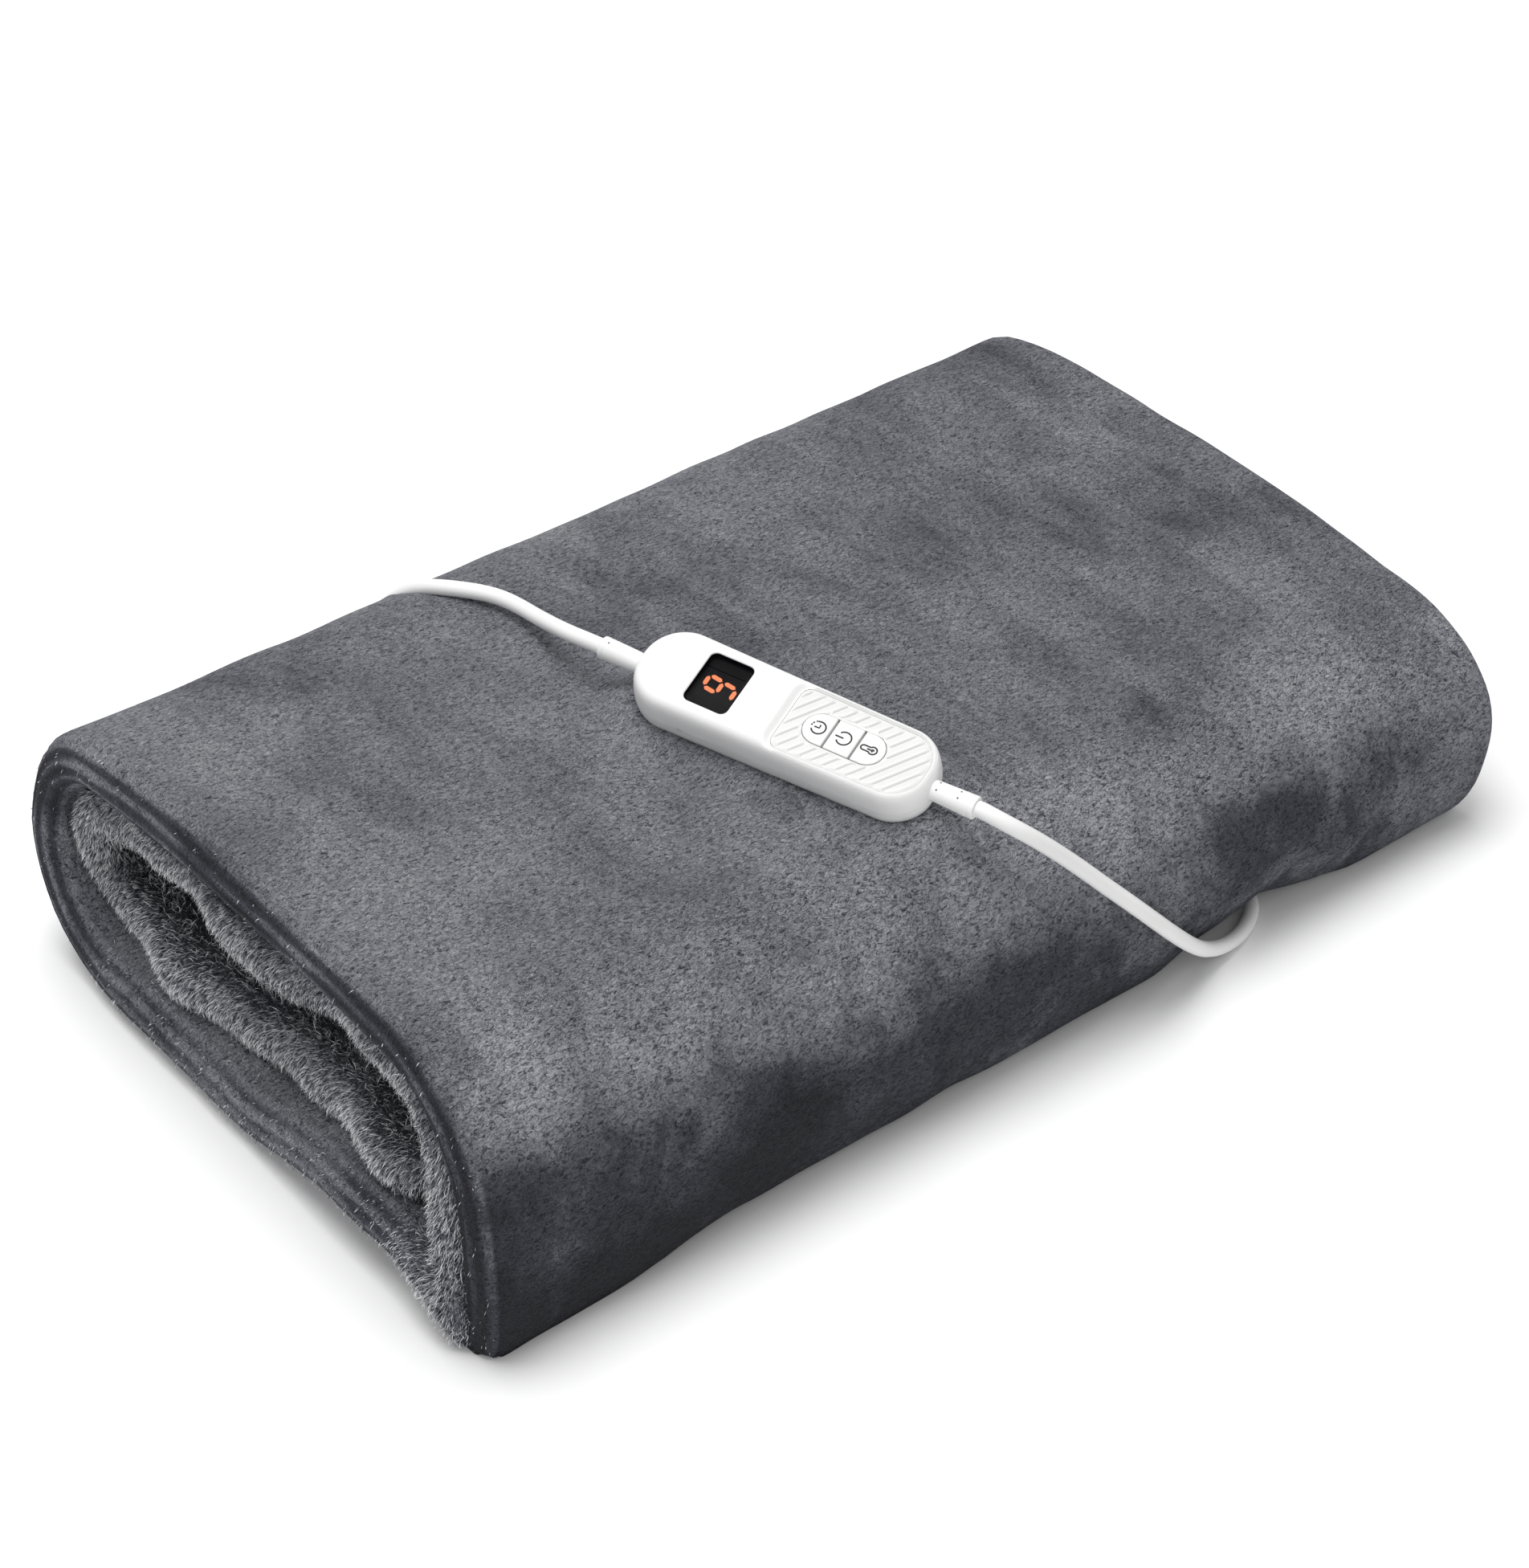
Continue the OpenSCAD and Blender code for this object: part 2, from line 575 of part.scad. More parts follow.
module blanket_lead() {
    color(white_plastic) tube(BLANKET_ROUTE, lead_d, [1, 0, 0]);
}

// The rest of the mains lead is folded into a hank: two turns side by side, three high
hank_at = [9, 165, 0];
hank_straight = 76;
hank_inner_r = 17.5;
hank_w = 2 * (hank_inner_r + 1.5 * lead_d);
hank_h = 3 * lead_d;
tie_w = 14;
tie_t = 1.2;
module mains_lead_hank() {
    color(white_plastic) translate(hank_at) difference() {
        linear_extrude(hank_h) stadium(hank_straight + hank_w, hank_w);
        translate([-tie_w / 2, -hank_w, -1]) cube([tie_w, 2 * hank_w, 1 + tie_t]);
        for (s = [-1, 1]) translate([-tie_w / 2, s * hank_w / 2 - (s > 0 ? tie_t : 0), -1])
            cube([tie_w, tie_t, hank_h + 2]);
    }
}
module hank_tie() {
    color([0.2, 0.2, 0.2]) translate(hank_at) difference() {
        translate([-tie_w / 2, -hank_w / 2, 0]) cube([tie_w, hank_w, hank_h + tie_t]);
        translate([-tie_w, -hank_w / 2 + tie_t, tie_t])
            cube([2 * tie_w, hank_w - 2 * tie_t, hank_h - tie_t]);
    }
}

// ---- the plug, in its own frame: +X towards its pins ----
plug_at = [112, 153, 7];
sleeve_d = 3.6;
plug_l = 37;
plug_relief_l = 24;
// The last stretch of the mains lead, from the hank's middle layer to the plug
PLUG_TAIL = [[47, 141.7, 8.7], [49, 141.8, 8.7], [56, 143, 8.5], [63, 145.4, 8.1],
    [71, 148.8, 7.6], [78, 151.3, 7.2], [86, 153, 7], [88, 153, 7]];
module plug_tail() {
    color(white_plastic) tube(PLUG_TAIL, lead_d, [0, 0, 1]);
}
module at_plug() {
    translate(plug_at) children();
}
module plug_relief() {
    color(white_plastic) at_plug() translate([-plug_relief_l, 0, 0])
        rod(lead_d + 1.4, plug_relief_l, lead_d + 5);
}
// Half outline of the plug: narrow at the lead, wide at the pins
plug_side = [[0, 9], [12, 15], [plug_l, 17]];
function both_sides(side) = concat(side, [for (i = [len(side) - 1:-1:0]) [side[i][0], -side[i][1]]]);
module plug_slab(half, narrower) {
    translate([0, 0, -half]) linear_extrude(2 * half)
        polygon(both_sides([for (p = plug_side) [max(p[0], narrower), p[1] - narrower]]));
}
module plug_body() {
    color(white_plastic) at_plug() difference() {
        hull() {
            plug_slab(6, 0);
            plug_slab(6.9, 3);
        }
        for (s = [-1, 1]) translate([plug_l - 12, s * pin_pitch / 2, 0]) rod(3, 14);
    }
}
sleeve_l = 10;
module plug_pins() {
    color(metal) at_plug() for (s = [-1, 1]) translate([0, s * pin_pitch / 2, 0]) {
        translate([plug_l - 12, 0, 0]) rod(3, 12 + sleeve_l);
        translate([plug_l + sleeve_l, 0, 0]) rod(pin_d, pin_l - sleeve_l - pin_d / 2);
        translate([plug_l + pin_l - pin_d / 2, 0, 0]) sphere(d = pin_d);
    }
}
module pin_sleeves() {
    color(white_plastic) at_plug() for (s = [-1, 1])
        translate([plug_l, s * pin_pitch / 2, 0]) difference() {
            rod(sleeve_d, sleeve_l);
            translate([-1, 0, 0]) rod(3, sleeve_l + 2);
        }
}

// ---- the connector and the throw's socket, in their own frame: +X from lead to throw ----
connector_at = [148, -95.5, 5.9];
connector_w = 28;
connector_h = 11;
connector_relief_l = 12;
connector_l = 26;
socket_x = connector_relief_l + connector_l;
socket_l = 22;
contact_pitch = 6;
module at_connector() {
    translate(connector_at) children();
}
module connector_relief() {
    color(white_plastic) at_connector() rod(lead_d + 1, connector_relief_l, lead_d + 4);
}
module connector_shell() {
    color(white_plastic) at_connector() difference() {
        translate([connector_relief_l + connector_l / 2, 0, -connector_h / 2])
            plate(connector_l, connector_w, connector_h, 3);
        for (k = [-1:1]) translate([socket_x - 12, k * contact_pitch, 0]) rod(4.2, 13);
    }
}
module connector_contacts() {
    color(metal) at_connector() for (k = [-1:1])
        translate([socket_x - 12, k * contact_pitch, 0]) difference() {
            rod(4.2, 11.5);
            translate([1.5, 0, 0]) rod(2.5, 11);
        }
}
module socket_half(top) {
    at_connector() translate([socket_x + socket_l / 2 + 0.1, 0, 0]) difference() {
        translate([0, 0, top ? 0 : -connector_h / 2]) plate(socket_l, connector_w + 3, connector_h / 2, 3);
        translate([0.5, 0, -connector_h / 2 + 1.5]) block(socket_l - 5, connector_w - 6, connector_h - 3);
        for (k = [-1:1]) translate([-socket_l / 2 - 1, k * contact_pitch, 0]) rod(2.4, 5);
        translate([socket_l / 2 - 4, 0, 0]) rod(4, 6);
    }
}
module socket_lower_shell() {
    color(white_plastic) socket_half(false);
}
module socket_upper_shell() {
    color(white_plastic) socket_half(true);
}
module socket_pins() {
    color(metal) at_connector() for (k = [-1:1])
        translate([socket_x - 8, k * contact_pitch, 0]) rod(2.4, 16);
}
module thermal_cutoff() {
    color([0.3, 0.3, 0.32]) at_connector() translate([socket_x + 14, 0, -2]) block(7, 12, 4);
}
SOCKET_TAIL = [[connector_at[0] + socket_x + socket_l - 3, connector_at[1], connector_at[2]],
    [connector_at[0] + socket_x + socket_l + 3, connector_at[1] - 1, connector_at[2] + 0.5],
    throw_at(U_LAST, V_LAST - 1, 0) + [4, 5, -2]];
module socket_tail() {
    color(white_plastic) tube(SOCKET_TAIL, 3.4, [0, 0, 1]);
}

face_ply();
back_ply();
hem_binding();
heating_wire();
socket_lower_shell();
socket_upper_shell();
socket_pins();
thermal_cutoff();
socket_tail();
connector_shell();
connector_contacts();
connector_relief();
lower_shell();
upper_shell();
display_window();
digit_module();
digit_segments();
button_panel();
timer_button();
power_button();
heat_button();
timer_plunger();
power_plunger();
heat_plunger();
switch_bodies();
circuit_board();
controller_chip();
triac();
fuse();
suppressor_capacitor();
shell_screws();
cord_clamps();
clamp_screws();
mains_relief();
blanket_relief();
mains_conductors();
blanket_conductors();
mains_lead();
blanket_lead();
mains_lead_hank();
hank_tie();
plug_tail();
plug_relief();
plug_body();
plug_pins();
pin_sleeves();
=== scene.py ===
"""Looks of a folded and rolled heated throw with its hand controller.

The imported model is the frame. Here each part gets its real surface: plush cloth with its pile,
moulded plastic, round leads and their plug.
"""

import json
import math

import bpy
import numpy as np
from mathutils import Matrix, Vector
from mathutils.geometry import delaunay_2d_cdt


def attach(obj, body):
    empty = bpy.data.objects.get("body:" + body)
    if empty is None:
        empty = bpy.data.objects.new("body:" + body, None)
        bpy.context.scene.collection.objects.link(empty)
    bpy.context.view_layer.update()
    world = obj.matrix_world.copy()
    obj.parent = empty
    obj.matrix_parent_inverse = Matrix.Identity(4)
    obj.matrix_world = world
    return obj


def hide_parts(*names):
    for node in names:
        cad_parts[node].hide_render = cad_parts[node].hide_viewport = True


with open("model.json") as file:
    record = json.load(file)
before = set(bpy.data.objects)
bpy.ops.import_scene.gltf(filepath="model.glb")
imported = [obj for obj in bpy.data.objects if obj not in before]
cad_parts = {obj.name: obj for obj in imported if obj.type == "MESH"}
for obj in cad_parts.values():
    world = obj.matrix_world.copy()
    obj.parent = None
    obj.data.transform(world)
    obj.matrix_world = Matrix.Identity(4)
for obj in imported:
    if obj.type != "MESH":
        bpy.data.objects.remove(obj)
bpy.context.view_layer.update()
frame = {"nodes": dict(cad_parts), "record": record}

MM = 0.001
ROOT = "throw"
rng = np.random.default_rng(7)


# -------- camera
# The same view as the photo: from the front left, 40 degrees above the floor.
def make_camera():
    elevation, azimuth, distance = math.radians(40), math.radians(-39.4), 1.469
    target = Vector((0.0013, 0.00485, 0.049))
    back = Vector((math.sin(azimuth) * math.cos(elevation), -math.cos(azimuth) * math.cos(elevation),
                   math.sin(elevation)))
    data = bpy.data.cameras.new("camera")
    data.lens = 94.06
    data.shift_x, data.shift_y = -0.0078, -0.0191
    data.clip_end = 20
    camera = bpy.data.objects.new("camera", data)
    camera.location = target + back * distance
    camera.rotation_euler = (-back).to_track_quat("-Z", "Y").to_euler()
    bpy.context.scene.collection.objects.link(camera)
    bpy.context.scene.camera = camera


make_camera()


# -------- helpers
def link(obj):
    bpy.context.scene.collection.objects.link(obj)
    return obj


def mesh_object(name, vertices, faces):
    """A mesh from points in millimetres."""
    mesh = bpy.data.meshes.new(name)
    points = np.asarray(vertices, float) * MM
    mesh.from_pydata(points.tolist(), [], [list(map(int, f)) for f in faces])
    mesh.validate()
    mesh.polygons.foreach_set("use_smooth", [True] * len(mesh.polygons))
    mesh.update()
    return link(bpy.data.objects.new(name, mesh))


def store(obj, name, values):
    """Numbers on a mesh's points, for its material to read."""
    attribute = obj.data.attributes.new(name, "FLOAT", "POINT")
    attribute.data.foreach_set("value", values.astype(np.float32))


def unit(v):
    v = np.asarray(v, float)
    return v / np.maximum(np.linalg.norm(v, axis=-1, keepdims=True), 1e-12)


def smoothstep(a, b, x):
    t = np.clip((np.asarray(x, float) - a) / (b - a), 0, 1)
    return t * t * (3 - 2 * t)


def soften(points, steps=8):
    """A smooth line through given points."""
    p = np.asarray(points, float)
    p = np.vstack([2 * p[0] - p[1], p, 2 * p[-1] - p[-2]])
    a, b, c, d = (p[k:len(p) - 3 + k, None] for k in range(4))
    t = np.arange(steps)[:, None] / steps
    out = 0.5 * (2 * b + (c - a) * t + (2 * a - 5 * b + 4 * c - d) * t * t
                 + (3 * b - a - 3 * c + d) * t ** 3)
    return np.vstack([out.reshape(-1, 3), p[-2]])


def distances(points):
    """How far along a line each of its points is."""
    return np.concatenate([[0], np.cumsum(np.linalg.norm(np.diff(points, axis=0), axis=1))])


def even_points(points, spacing):
    """The same line with evenly spaced points."""
    along = distances(points)
    at = np.linspace(0, along[-1], max(2, int(round(along[-1] / spacing)) + 1))
    return np.stack([np.interp(at, along, points[:, k]) for k in range(3)], axis=1)


def between(grid, i, j, a, b):
    """Points in a grid's cells, at the shares a and b of their sides."""
    return ((1 - a) * (1 - b) * grid[i, j] + a * (1 - b) * grid[i + 1, j]
            + (1 - a) * b * grid[i, j + 1] + a * b * grid[i + 1, j + 1])


def relax(points, rounds=12):
    """Evens out the bends of a line, and keeps its ends."""
    for _ in range(rounds):
        middle = (points[:-2] + points[2:]) / 2
        points[2:-2] += 0.5 * (middle - points[1:-1])[1:-1]
    return points


# -------- materials
def linear(*screen):
    """A colour given as it looks on screen, from 0 to 255."""
    return tuple((c / 255 / 12.92) if c <= 10 else ((c / 255 + 0.055) / 1.055) ** 2.4
                 for c in screen) + (1,)


def grey(v):
    return (v, v, v, 1)


class Nodes:
    """Short ways to build a material's nodes."""

    def __init__(self, name):
        self.material = bpy.data.materials.new(name)
        self.material.use_nodes = True
        self.tree = self.material.node_tree
        self.shader = self.tree.nodes["Principled BSDF"]

    def add(self, kind, **values):
        node = self.tree.nodes.new(kind)
        for key, value in values.items():
            if hasattr(node, key):
                setattr(node, key, value)
            else:
                node.inputs[key.replace("_", " ").title()].default_value = value
        return node

    def join(self, value, socket):
        """Another node's output, or a plain value, into a socket."""
        if isinstance(value, (int, float, tuple)):
            socket.default_value = value
        else:
            self.tree.links.new(value, socket)

    def place(self, scale=(1, 1, 1), rotation=(0, 0, 0)):
        coordinates = self.add("ShaderNodeTexCoord")
        mapping = self.add("ShaderNodeMapping", Scale=scale, Rotation=rotation)
        self.join(coordinates.outputs["Object"], mapping.inputs["Vector"])
        return mapping.outputs["Vector"]

    def noise(self, at, scale, detail=2, roughness=0.5, distortion=0.0):
        node = self.add("ShaderNodeTexNoise", Scale=scale, Detail=detail, Roughness=roughness,
                        Distortion=distortion)
        self.join(at, node.inputs["Vector"])
        return node.outputs["Fac"]

    def ramp(self, value, *stops):
        node = self.add("ShaderNodeValToRGB")
        elements = node.color_ramp.elements
        while len(elements) < len(stops):
            elements.new(0.5)
        for element, (at, color) in zip(elements, stops):
            element.position, element.color = at, color
        self.join(value, node.inputs["Fac"])
        return node.outputs["Color"]

    def math(self, operation, a, b=0.0, c=0.0):
        node = self.add("ShaderNodeMath", operation=operation)
        for value, socket in zip((a, b, c), node.inputs):
            self.join(value, socket)
        return node.outputs[0]

    def multiply(self, a, b):
        """Two colours multiplied."""
        node = self.add("ShaderNodeMix", data_type="RGBA", blend_type="MULTIPLY")
        for value, k in ((1.0, 0), (a, 6), (b, 7)):
            self.join(value, node.inputs[k])
        return node.outputs[2]

    def bump(self, height, distance, strength=1.0):
        node = self.add("ShaderNodeBump", Distance=distance, Strength=strength)
        self.join(height, node.inputs["Height"])
        return node.outputs["Normal"]

    def finish(self, color=None, normal=None, roughness=None, **constants):
        for name, value in (("Base Color", color), ("Normal", normal), ("Roughness", roughness)):
            if value is not None:
                self.join(value, self.shader.inputs[name])
        for key, value in constants.items():
            self.shader.inputs[key.replace("_", " ")].default_value = value
        return self.material


def plastic_material(name, color, roughness=0.36, grain=0.25, tone=0.03, scale=900, **others):
    """Moulded plastic: a fine texture from the mould and a faint unevenness of its tone."""
    n = Nodes(name)
    here = n.place()
    dark = tuple(c * (1 - tone) for c in color[:3]) + (1,)
    shade = n.ramp(n.noise(here, 30, 3), (0.35, dark), (0.65, color))
    gloss = n.ramp(n.noise(here, 240, 3), (0.3, grey(roughness - 0.04)), (0.7, grey(roughness + 0.05)))
    normal = n.bump(n.noise(here, scale, 2), 0.0001, grain)
    return n.finish(shade, normal, gloss, **{"Specular_IOR_Level": 0.45, **others})


def metal_material(name, color, roughness=0.3):
    """Plated metal with fine drawn lines."""
    n = Nodes(name)
    lines = n.noise(n.place((40, 1400, 1400)), 1, 3)
    gloss = n.ramp(lines, (0.3, grey(roughness - 0.08)), (0.7, grey(roughness + 0.1)))
    return n.finish(color, n.bump(lines, 0.00005, 0.3), gloss, Metallic=1.0)


def plush_material():
    """Short plush: patches of pile that lie either way, a hand's strokes, the pile's grain, and the painted
    light and shade stored on the mesh.
    """
    n = Nodes("plush")
    patches = n.noise(n.place((1, 1, 1.5)), 11, 4, 0.55, 0.6)
    strokes = n.noise(n.place((1.6, 0.6, 1), (0, 0, 0.6)), 38, 3, 0.6, 0.5)
    blend = n.math("MULTIPLY_ADD", strokes, 0.3, n.math("MULTIPLY_ADD", patches, 0.48, 0.11))
    # painted light and shade from the mesh, with random nap patches, mixed into the tone
    pile_tone_and_painted_light = n.add("ShaderNodeAttribute", attribute_name="nap_and_painted_light").outputs["Fac"]
    blend = n.math("MULTIPLY_ADD", pile_tone_and_painted_light, 0.2, blend)
    nap_and_painted_light = n.ramp(blend, (0.18, linear(52, 53, 63)), (0.33, linear(106, 108, 119)),
                 (0.44, linear(188, 190, 198)), (0.56, linear(230, 232, 238)),
                 (0.72, linear(248, 250, 253)))
    grain = n.noise(n.place((0.8, 1.5, 1.2), (0, 0, 0.5)), 640, 3, 0.72, 1.2)
    crinkle = n.math("ABSOLUTE", n.math("SUBTRACT", n.noise(n.place(), 520, 2, 0.5, 1.6), 0.5))
    shade = n.ramp(grain, (0.35, linear(78, 78, 85)), (0.49, linear(206, 206, 211)),
                   (0.61, linear(255, 255, 255)))
    relief = n.bump(n.math("MULTIPLY_ADD", crinkle, 2.0, grain), 0.008)
    return n.finish(n.multiply(nap_and_painted_light, shade), relief, 0.88, Specular_IOR_Level=0.15,
                    Sheen_Weight=0.1, Sheen_Roughness=0.4, Sheen_Tint=(0.82, 0.84, 0.9, 1))


def strand_material():
    """Single strands, with painted shade at the root and a painted highlight at the tip."""
    n = Nodes("pile_strands")
    tip = n.add("ShaderNodeAttribute", attribute_name="tip").outputs["Fac"]
    tone = n.math("MULTIPLY_ADD", n.noise(n.place(), 60, 2), 0.5, n.math("SUBTRACT", tip, 0.25))
    color = n.ramp(tone, (0.12, linear(34, 35, 42)), (0.45, linear(122, 124, 133)),
                   (0.85, linear(252, 253, 255)))
    return n.finish(color, None, 0.8, Specular_IOR_Level=0.2)


def paint(obj, material):
    slots = obj.data.materials
    if not len(slots):
        slots.append(material)
    for k in range(len(slots)):
        slots[k] = material


def stacked(loops, ring=False):
    """Closed loops of the same number of points, bridged in order. The first and the last are
    capped, or in a ring bridged to each other."""
    n, count = len(loops[0]), len(loops)
    faces = []
    for k in range(count if ring else count - 1):
        a, b = k * n, (k + 1) % count * n
        faces += [(a + i, a + (i + 1) % n, b + (i + 1) % n, b + i) for i in range(n)]
    if not ring:
        faces += [tuple(range(n))[::-1], tuple(range((count - 1) * n, count * n))]
    return np.vstack(loops), faces


def tube(line, r, sides=8):
    """A round bar along a line, with closed ends."""
    line = np.asarray(line, float)
    way = unit(np.gradient(line, axis=0))
    side = unit(np.cross(way, (0.13, 0.05, 1) if abs(way[0][2]) < 0.9 else (1, 0, 0)))
    up = np.cross(side, way)
    a = np.arange(sides) * 2 * math.pi / sides
    loops = [p + r * (np.outer(np.cos(a), s) + np.outer(np.sin(a), u))
             for p, s, u in zip(line, side, up)]
    points, faces = stacked(loops)
    return points, [f[::-1] for f in faces]


# The controller's own frame: X towards the keypad, Z out of its face, in millimetres
CONTROLLER = (
    Matrix.Translation((-38, -48, 116.4))
    @ Matrix.Rotation(math.radians(-70), 4, "Z")
    @ Matrix.Rotation(math.radians(3.5), 4, "Y")
    @ Matrix.Rotation(math.radians(15), 4, "X")
)


def on_controller(points):
    m = np.array(CONTROLLER)
    return np.asarray(points, float) @ m[:3, :3].T + m[:3, 3]


# -------- leads
LEAD_D = 5.8
CASING_END = 57
RELIEF_OUT = 16
MAINS_ROUTE = [
    (-66.2, 36, 119.3), (-64.6, 47, 115.2), (-62.6, 58.5, 110.6), (-61, 70.5, 107), (-61.6, 81, 105.3),
    (-64.6, 89, 104.5), (-69, 96.7, 103.2), (-72.8, 104.2, 101.8), (-75, 111.5, 98.6), (-76.5, 118.5, 93.6),
    (-77.7, 125.3, 87), (-78.8, 132, 79), (-80, 138.5, 69.5), (-81, 143.7, 58.5), (-81.6, 147.5, 46.5),
    (-81.6, 149.6, 35), (-80, 150, 24.5), (-75.5, 149.5, 15), (-67.5, 148, 8), (-58, 145.5, 4.2),
    (-49.5, 143, 3), (-41, 141.7, 2.9),
]
PLUG_TAIL = [
    (47, 141.7, 8.7), (49, 141.8, 8.7), (56, 143, 8.5), (63, 145.4, 8.1),
    (71, 148.8, 7.6), (78, 151.3, 7.2), (86, 153, 7), (88, 153, 7),
]
BLANKET_ROUTE = [
    (-8, -127.5, 109), (-0.5, -130.3, 101.8), (8.5, -132.6, 92), (18.5, -134.9, 80.5),
    (28, -137.8, 69), (37, -140.7, 58.5), (46.5, -142.8, 47), (56, -143.5, 35.5), (65.5, -142.7, 24.5),
    (75, -140.7, 14.5), (84.5, -138.5, 7.5), (94, -137, 3.8), (103, -134.7, 2.9),
    (113, -129.2, 2.9), (119.4, -119.7, 2.9), (120.6, -108.4, 2.9), (116.5, -97.7, 2.9), (108, -90.2, 2.9),
    (96.8, -87.5, 2.9), (60, -87.5, 2.9), (20, -87.5, 2.9), (-20, -87.5, 2.9), (-60, -87.5, 2.9),
    (-72, -84.3, 2.9), (-80.8, -75.5, 2.9), (-84, -63.5, 2.9), (-80.8, -51.5, 2.9), (-72, -42.7, 2.9),
    (-60, -39.5, 2.9), (-20, -39.5, 2.9), (20, -39.5, 2.9), (60, -39.5, 2.9), (100, -39.5, 2.9),
    (112, -42.7, 2.9), (120.8, -51.5, 2.9), (124, -63.5, 2.9), (124.3, -74, 3.4),
    (127.5, -84.5, 4.4), (133.5, -92, 5.3), (141.5, -95.5, 5.9), (148, -95.5, 5.9),
]
HANK_MIDDLE = (9, 165)
HANK_STRAIGHT = 76


def hank_turns():
    """The folded part of the mains lead: laps round a long loop, each with its radius and height
    along the front, at the far end, along the back and at the near end."""
    outer, inner = 4 * LEAD_D, 3 * LEAD_D
    low, middle, high = (LEAD_D * (0.5 + k) for k in range(3))
    laps = [
        ((outer, low), (outer, low), (outer, low), (inner, low)),
        ((inner, low), (inner, low), (inner, low), (inner, middle)),
        ((inner, middle), (inner, middle), (inner, middle), (inner, high)),
        ((inner, high), (inner, high), (inner, high), (outer, high)),
        ((outer, high), (outer, middle), (outer, middle), (outer, middle)),
    ]
    cx, cy = HANK_MIDDLE
    steps = np.linspace(0, 1, 6)
    points = []

    def straight(side, at, steps):
        for t in steps:
            points.append((cx - side * HANK_STRAIGHT * (t - 0.5), cy + side * at[0], at[1]))

    def turn(begin, side, a, b):
        for t in np.linspace(0, 1, 11)[:-1]:
            s = float(smoothstep(0, 1, t))
            r, z = (a[k] + (b[k] - a[k]) * s for k in range(2))
            angle = math.radians(begin + 180 * t)
            x = cx + side * HANK_STRAIGHT / 2 + r * math.cos(angle)
            points.append((x, cy + r * math.sin(angle), z))

    for front, far, back, near in laps:
        straight(-1, front, steps[:-1])
        turn(270, 1, front, far)
        straight(1, far, steps[:-1])
        turn(90, -1, back, near)
    straight(-1, near, steps)
    return points


def route(points):
    return relax(even_points(soften(points), 2.5))


def lead(name, line, replaced):
    """A round cord. Its radius is on its points, so that the curve's own box fits it."""
    curve = bpy.data.curves.new(name, "CURVE")
    curve.dimensions = "3D"
    curve.bevel_depth = 1
    curve.bevel_resolution = 5
    curve.use_fill_caps = True
    spline = curve.splines.new("POLY")
    spline.points.add(len(line) - 1)
    spline.points.foreach_set("co", np.column_stack([line * MM, np.ones(len(line))]).ravel())
    spline.points.foreach_set("radius", [LEAD_D / 2 * MM] * len(line))
    spline.use_smooth = True
    obj = link(bpy.data.objects.new(name, curve))
    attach(obj, ROOT)
    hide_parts(*replaced)
    return obj


relief_tip = CASING_END + RELIEF_OUT
mains_line = np.vstack([
    route([*on_controller([[-relief_tip, 0, 0], [-relief_tip - 7, 0, 0]]), *MAINS_ROUTE])[:-1],
    even_points(np.array(hank_turns()), 2.5),
    route(PLUG_TAIL)[1:],
])
mains_cord = lead("mains_cord", mains_line, ["mains_lead", "mains_lead_hank", "plug_tail"])
throw_line = route([*on_controller([[relief_tip, 0, 0], [relief_tip + 4, 0, 0]]), *BLANKET_ROUTE])
throw_cord = lead("throw_cord", throw_line, ["blanket_lead"])


# The casing: half its length, then half its width and its corners' radius at the two ends
END = CASING_END
W1, W2, R1, R2 = 34.5 / 2, 32 / 2, 16, 14


def inset_at(p):
    """How far inside the casing's outline a point is."""
    x, y = p[:, 0], np.abs(p[:, 1])
    side = W1 + (W2 - W1) * (x - (R1 - END)) / (2 * END - R1 - R2)
    d = np.minimum(side - y, np.minimum(END - x, END + x))
    for cx, cy, r, way in ((END - R2, W2 - R2, R2, 1), (R1 - END, W1 - R1, R1, -1)):
        dx, dy = way * (x - cx), y - cy
        d = np.where((dx > 0) & (dy > 0), r - np.hypot(dx, dy), d)
    return d


# -------- throw: where its cloth lies
# The cloth is folded in four along X, and the fold is rolled flat into five wraps.
ROLL_L, ROLL_W, WRAP = 460, 282, 18.8
PLY = WRAP / 4
CLOTH_HALF = 2.2
NEAR_FOLD = -ROLL_L / 2 + 2 * PLY
FAR_FOLD = ROLL_L / 2 - PLY
HEM = ROLL_L / 2 - 2 * PLY
FLOOR_GAP = 0.2


def run(a, b, spacing):
    n = max(1, int(round(abs(b - a) / spacing)))
    return np.linspace(a, b, n + 1)[:-1]


def fold_stations():
    """The folded cloth from hem to hem: x, the height n in the fold, and the way its face looks."""
    rows = []

    def straight(xs, n, side):
        rows.extend([x, n, 0, side] for x in xs)

    def turn(x, n, r, begin, end, steps, side):
        for a in np.radians(np.linspace(begin, end, steps + 1)[:-1]):
            c, s = math.cos(a), math.sin(a)
            rows.append([x + r * c, n + r * s, side * c, side * s])

    straight([HEM, HEM - 3, *run(HEM - 6, -150, 30), *run(-150, NEAR_FOLD, 6)], -1.5 * PLY, -1)
    turn(NEAR_FOLD, 0, 1.5 * PLY, 270, 90, 22, 1)
    straight([*run(NEAR_FOLD, -185, 3.5), *run(-185, FAR_FOLD, 5.2)], 1.5 * PLY, 1)
    turn(FAR_FOLD, PLY, 0.5 * PLY, 90, -90, 6, 1)
    straight(run(FAR_FOLD, NEAR_FOLD, 35), 0.5 * PLY, -1)
    turn(NEAR_FOLD, 0, 0.5 * PLY, 90, 270, 4, -1)
    straight([*run(NEAR_FOLD, HEM - 3, 35), HEM - 3, HEM], -0.5 * PLY, 1)
    return np.array(rows)


# The wraps in order: their height, the way they run, the turn after them, how far their
# open edge is pulled in, and how closely their stations stand
FLAT = ROLL_W - 5.5 * WRAP
WRAPS = [
    (2.5, -1, 0.5, 40, 10), (1.5, 1, 1.0, 11, 6), (3.5, -1, 1.5, 8, 5),
    (0.5, 1, 2.0, 0, 6), (4.5, -1, 2.5, 0, 4),
]
END_ANGLE = 131.8


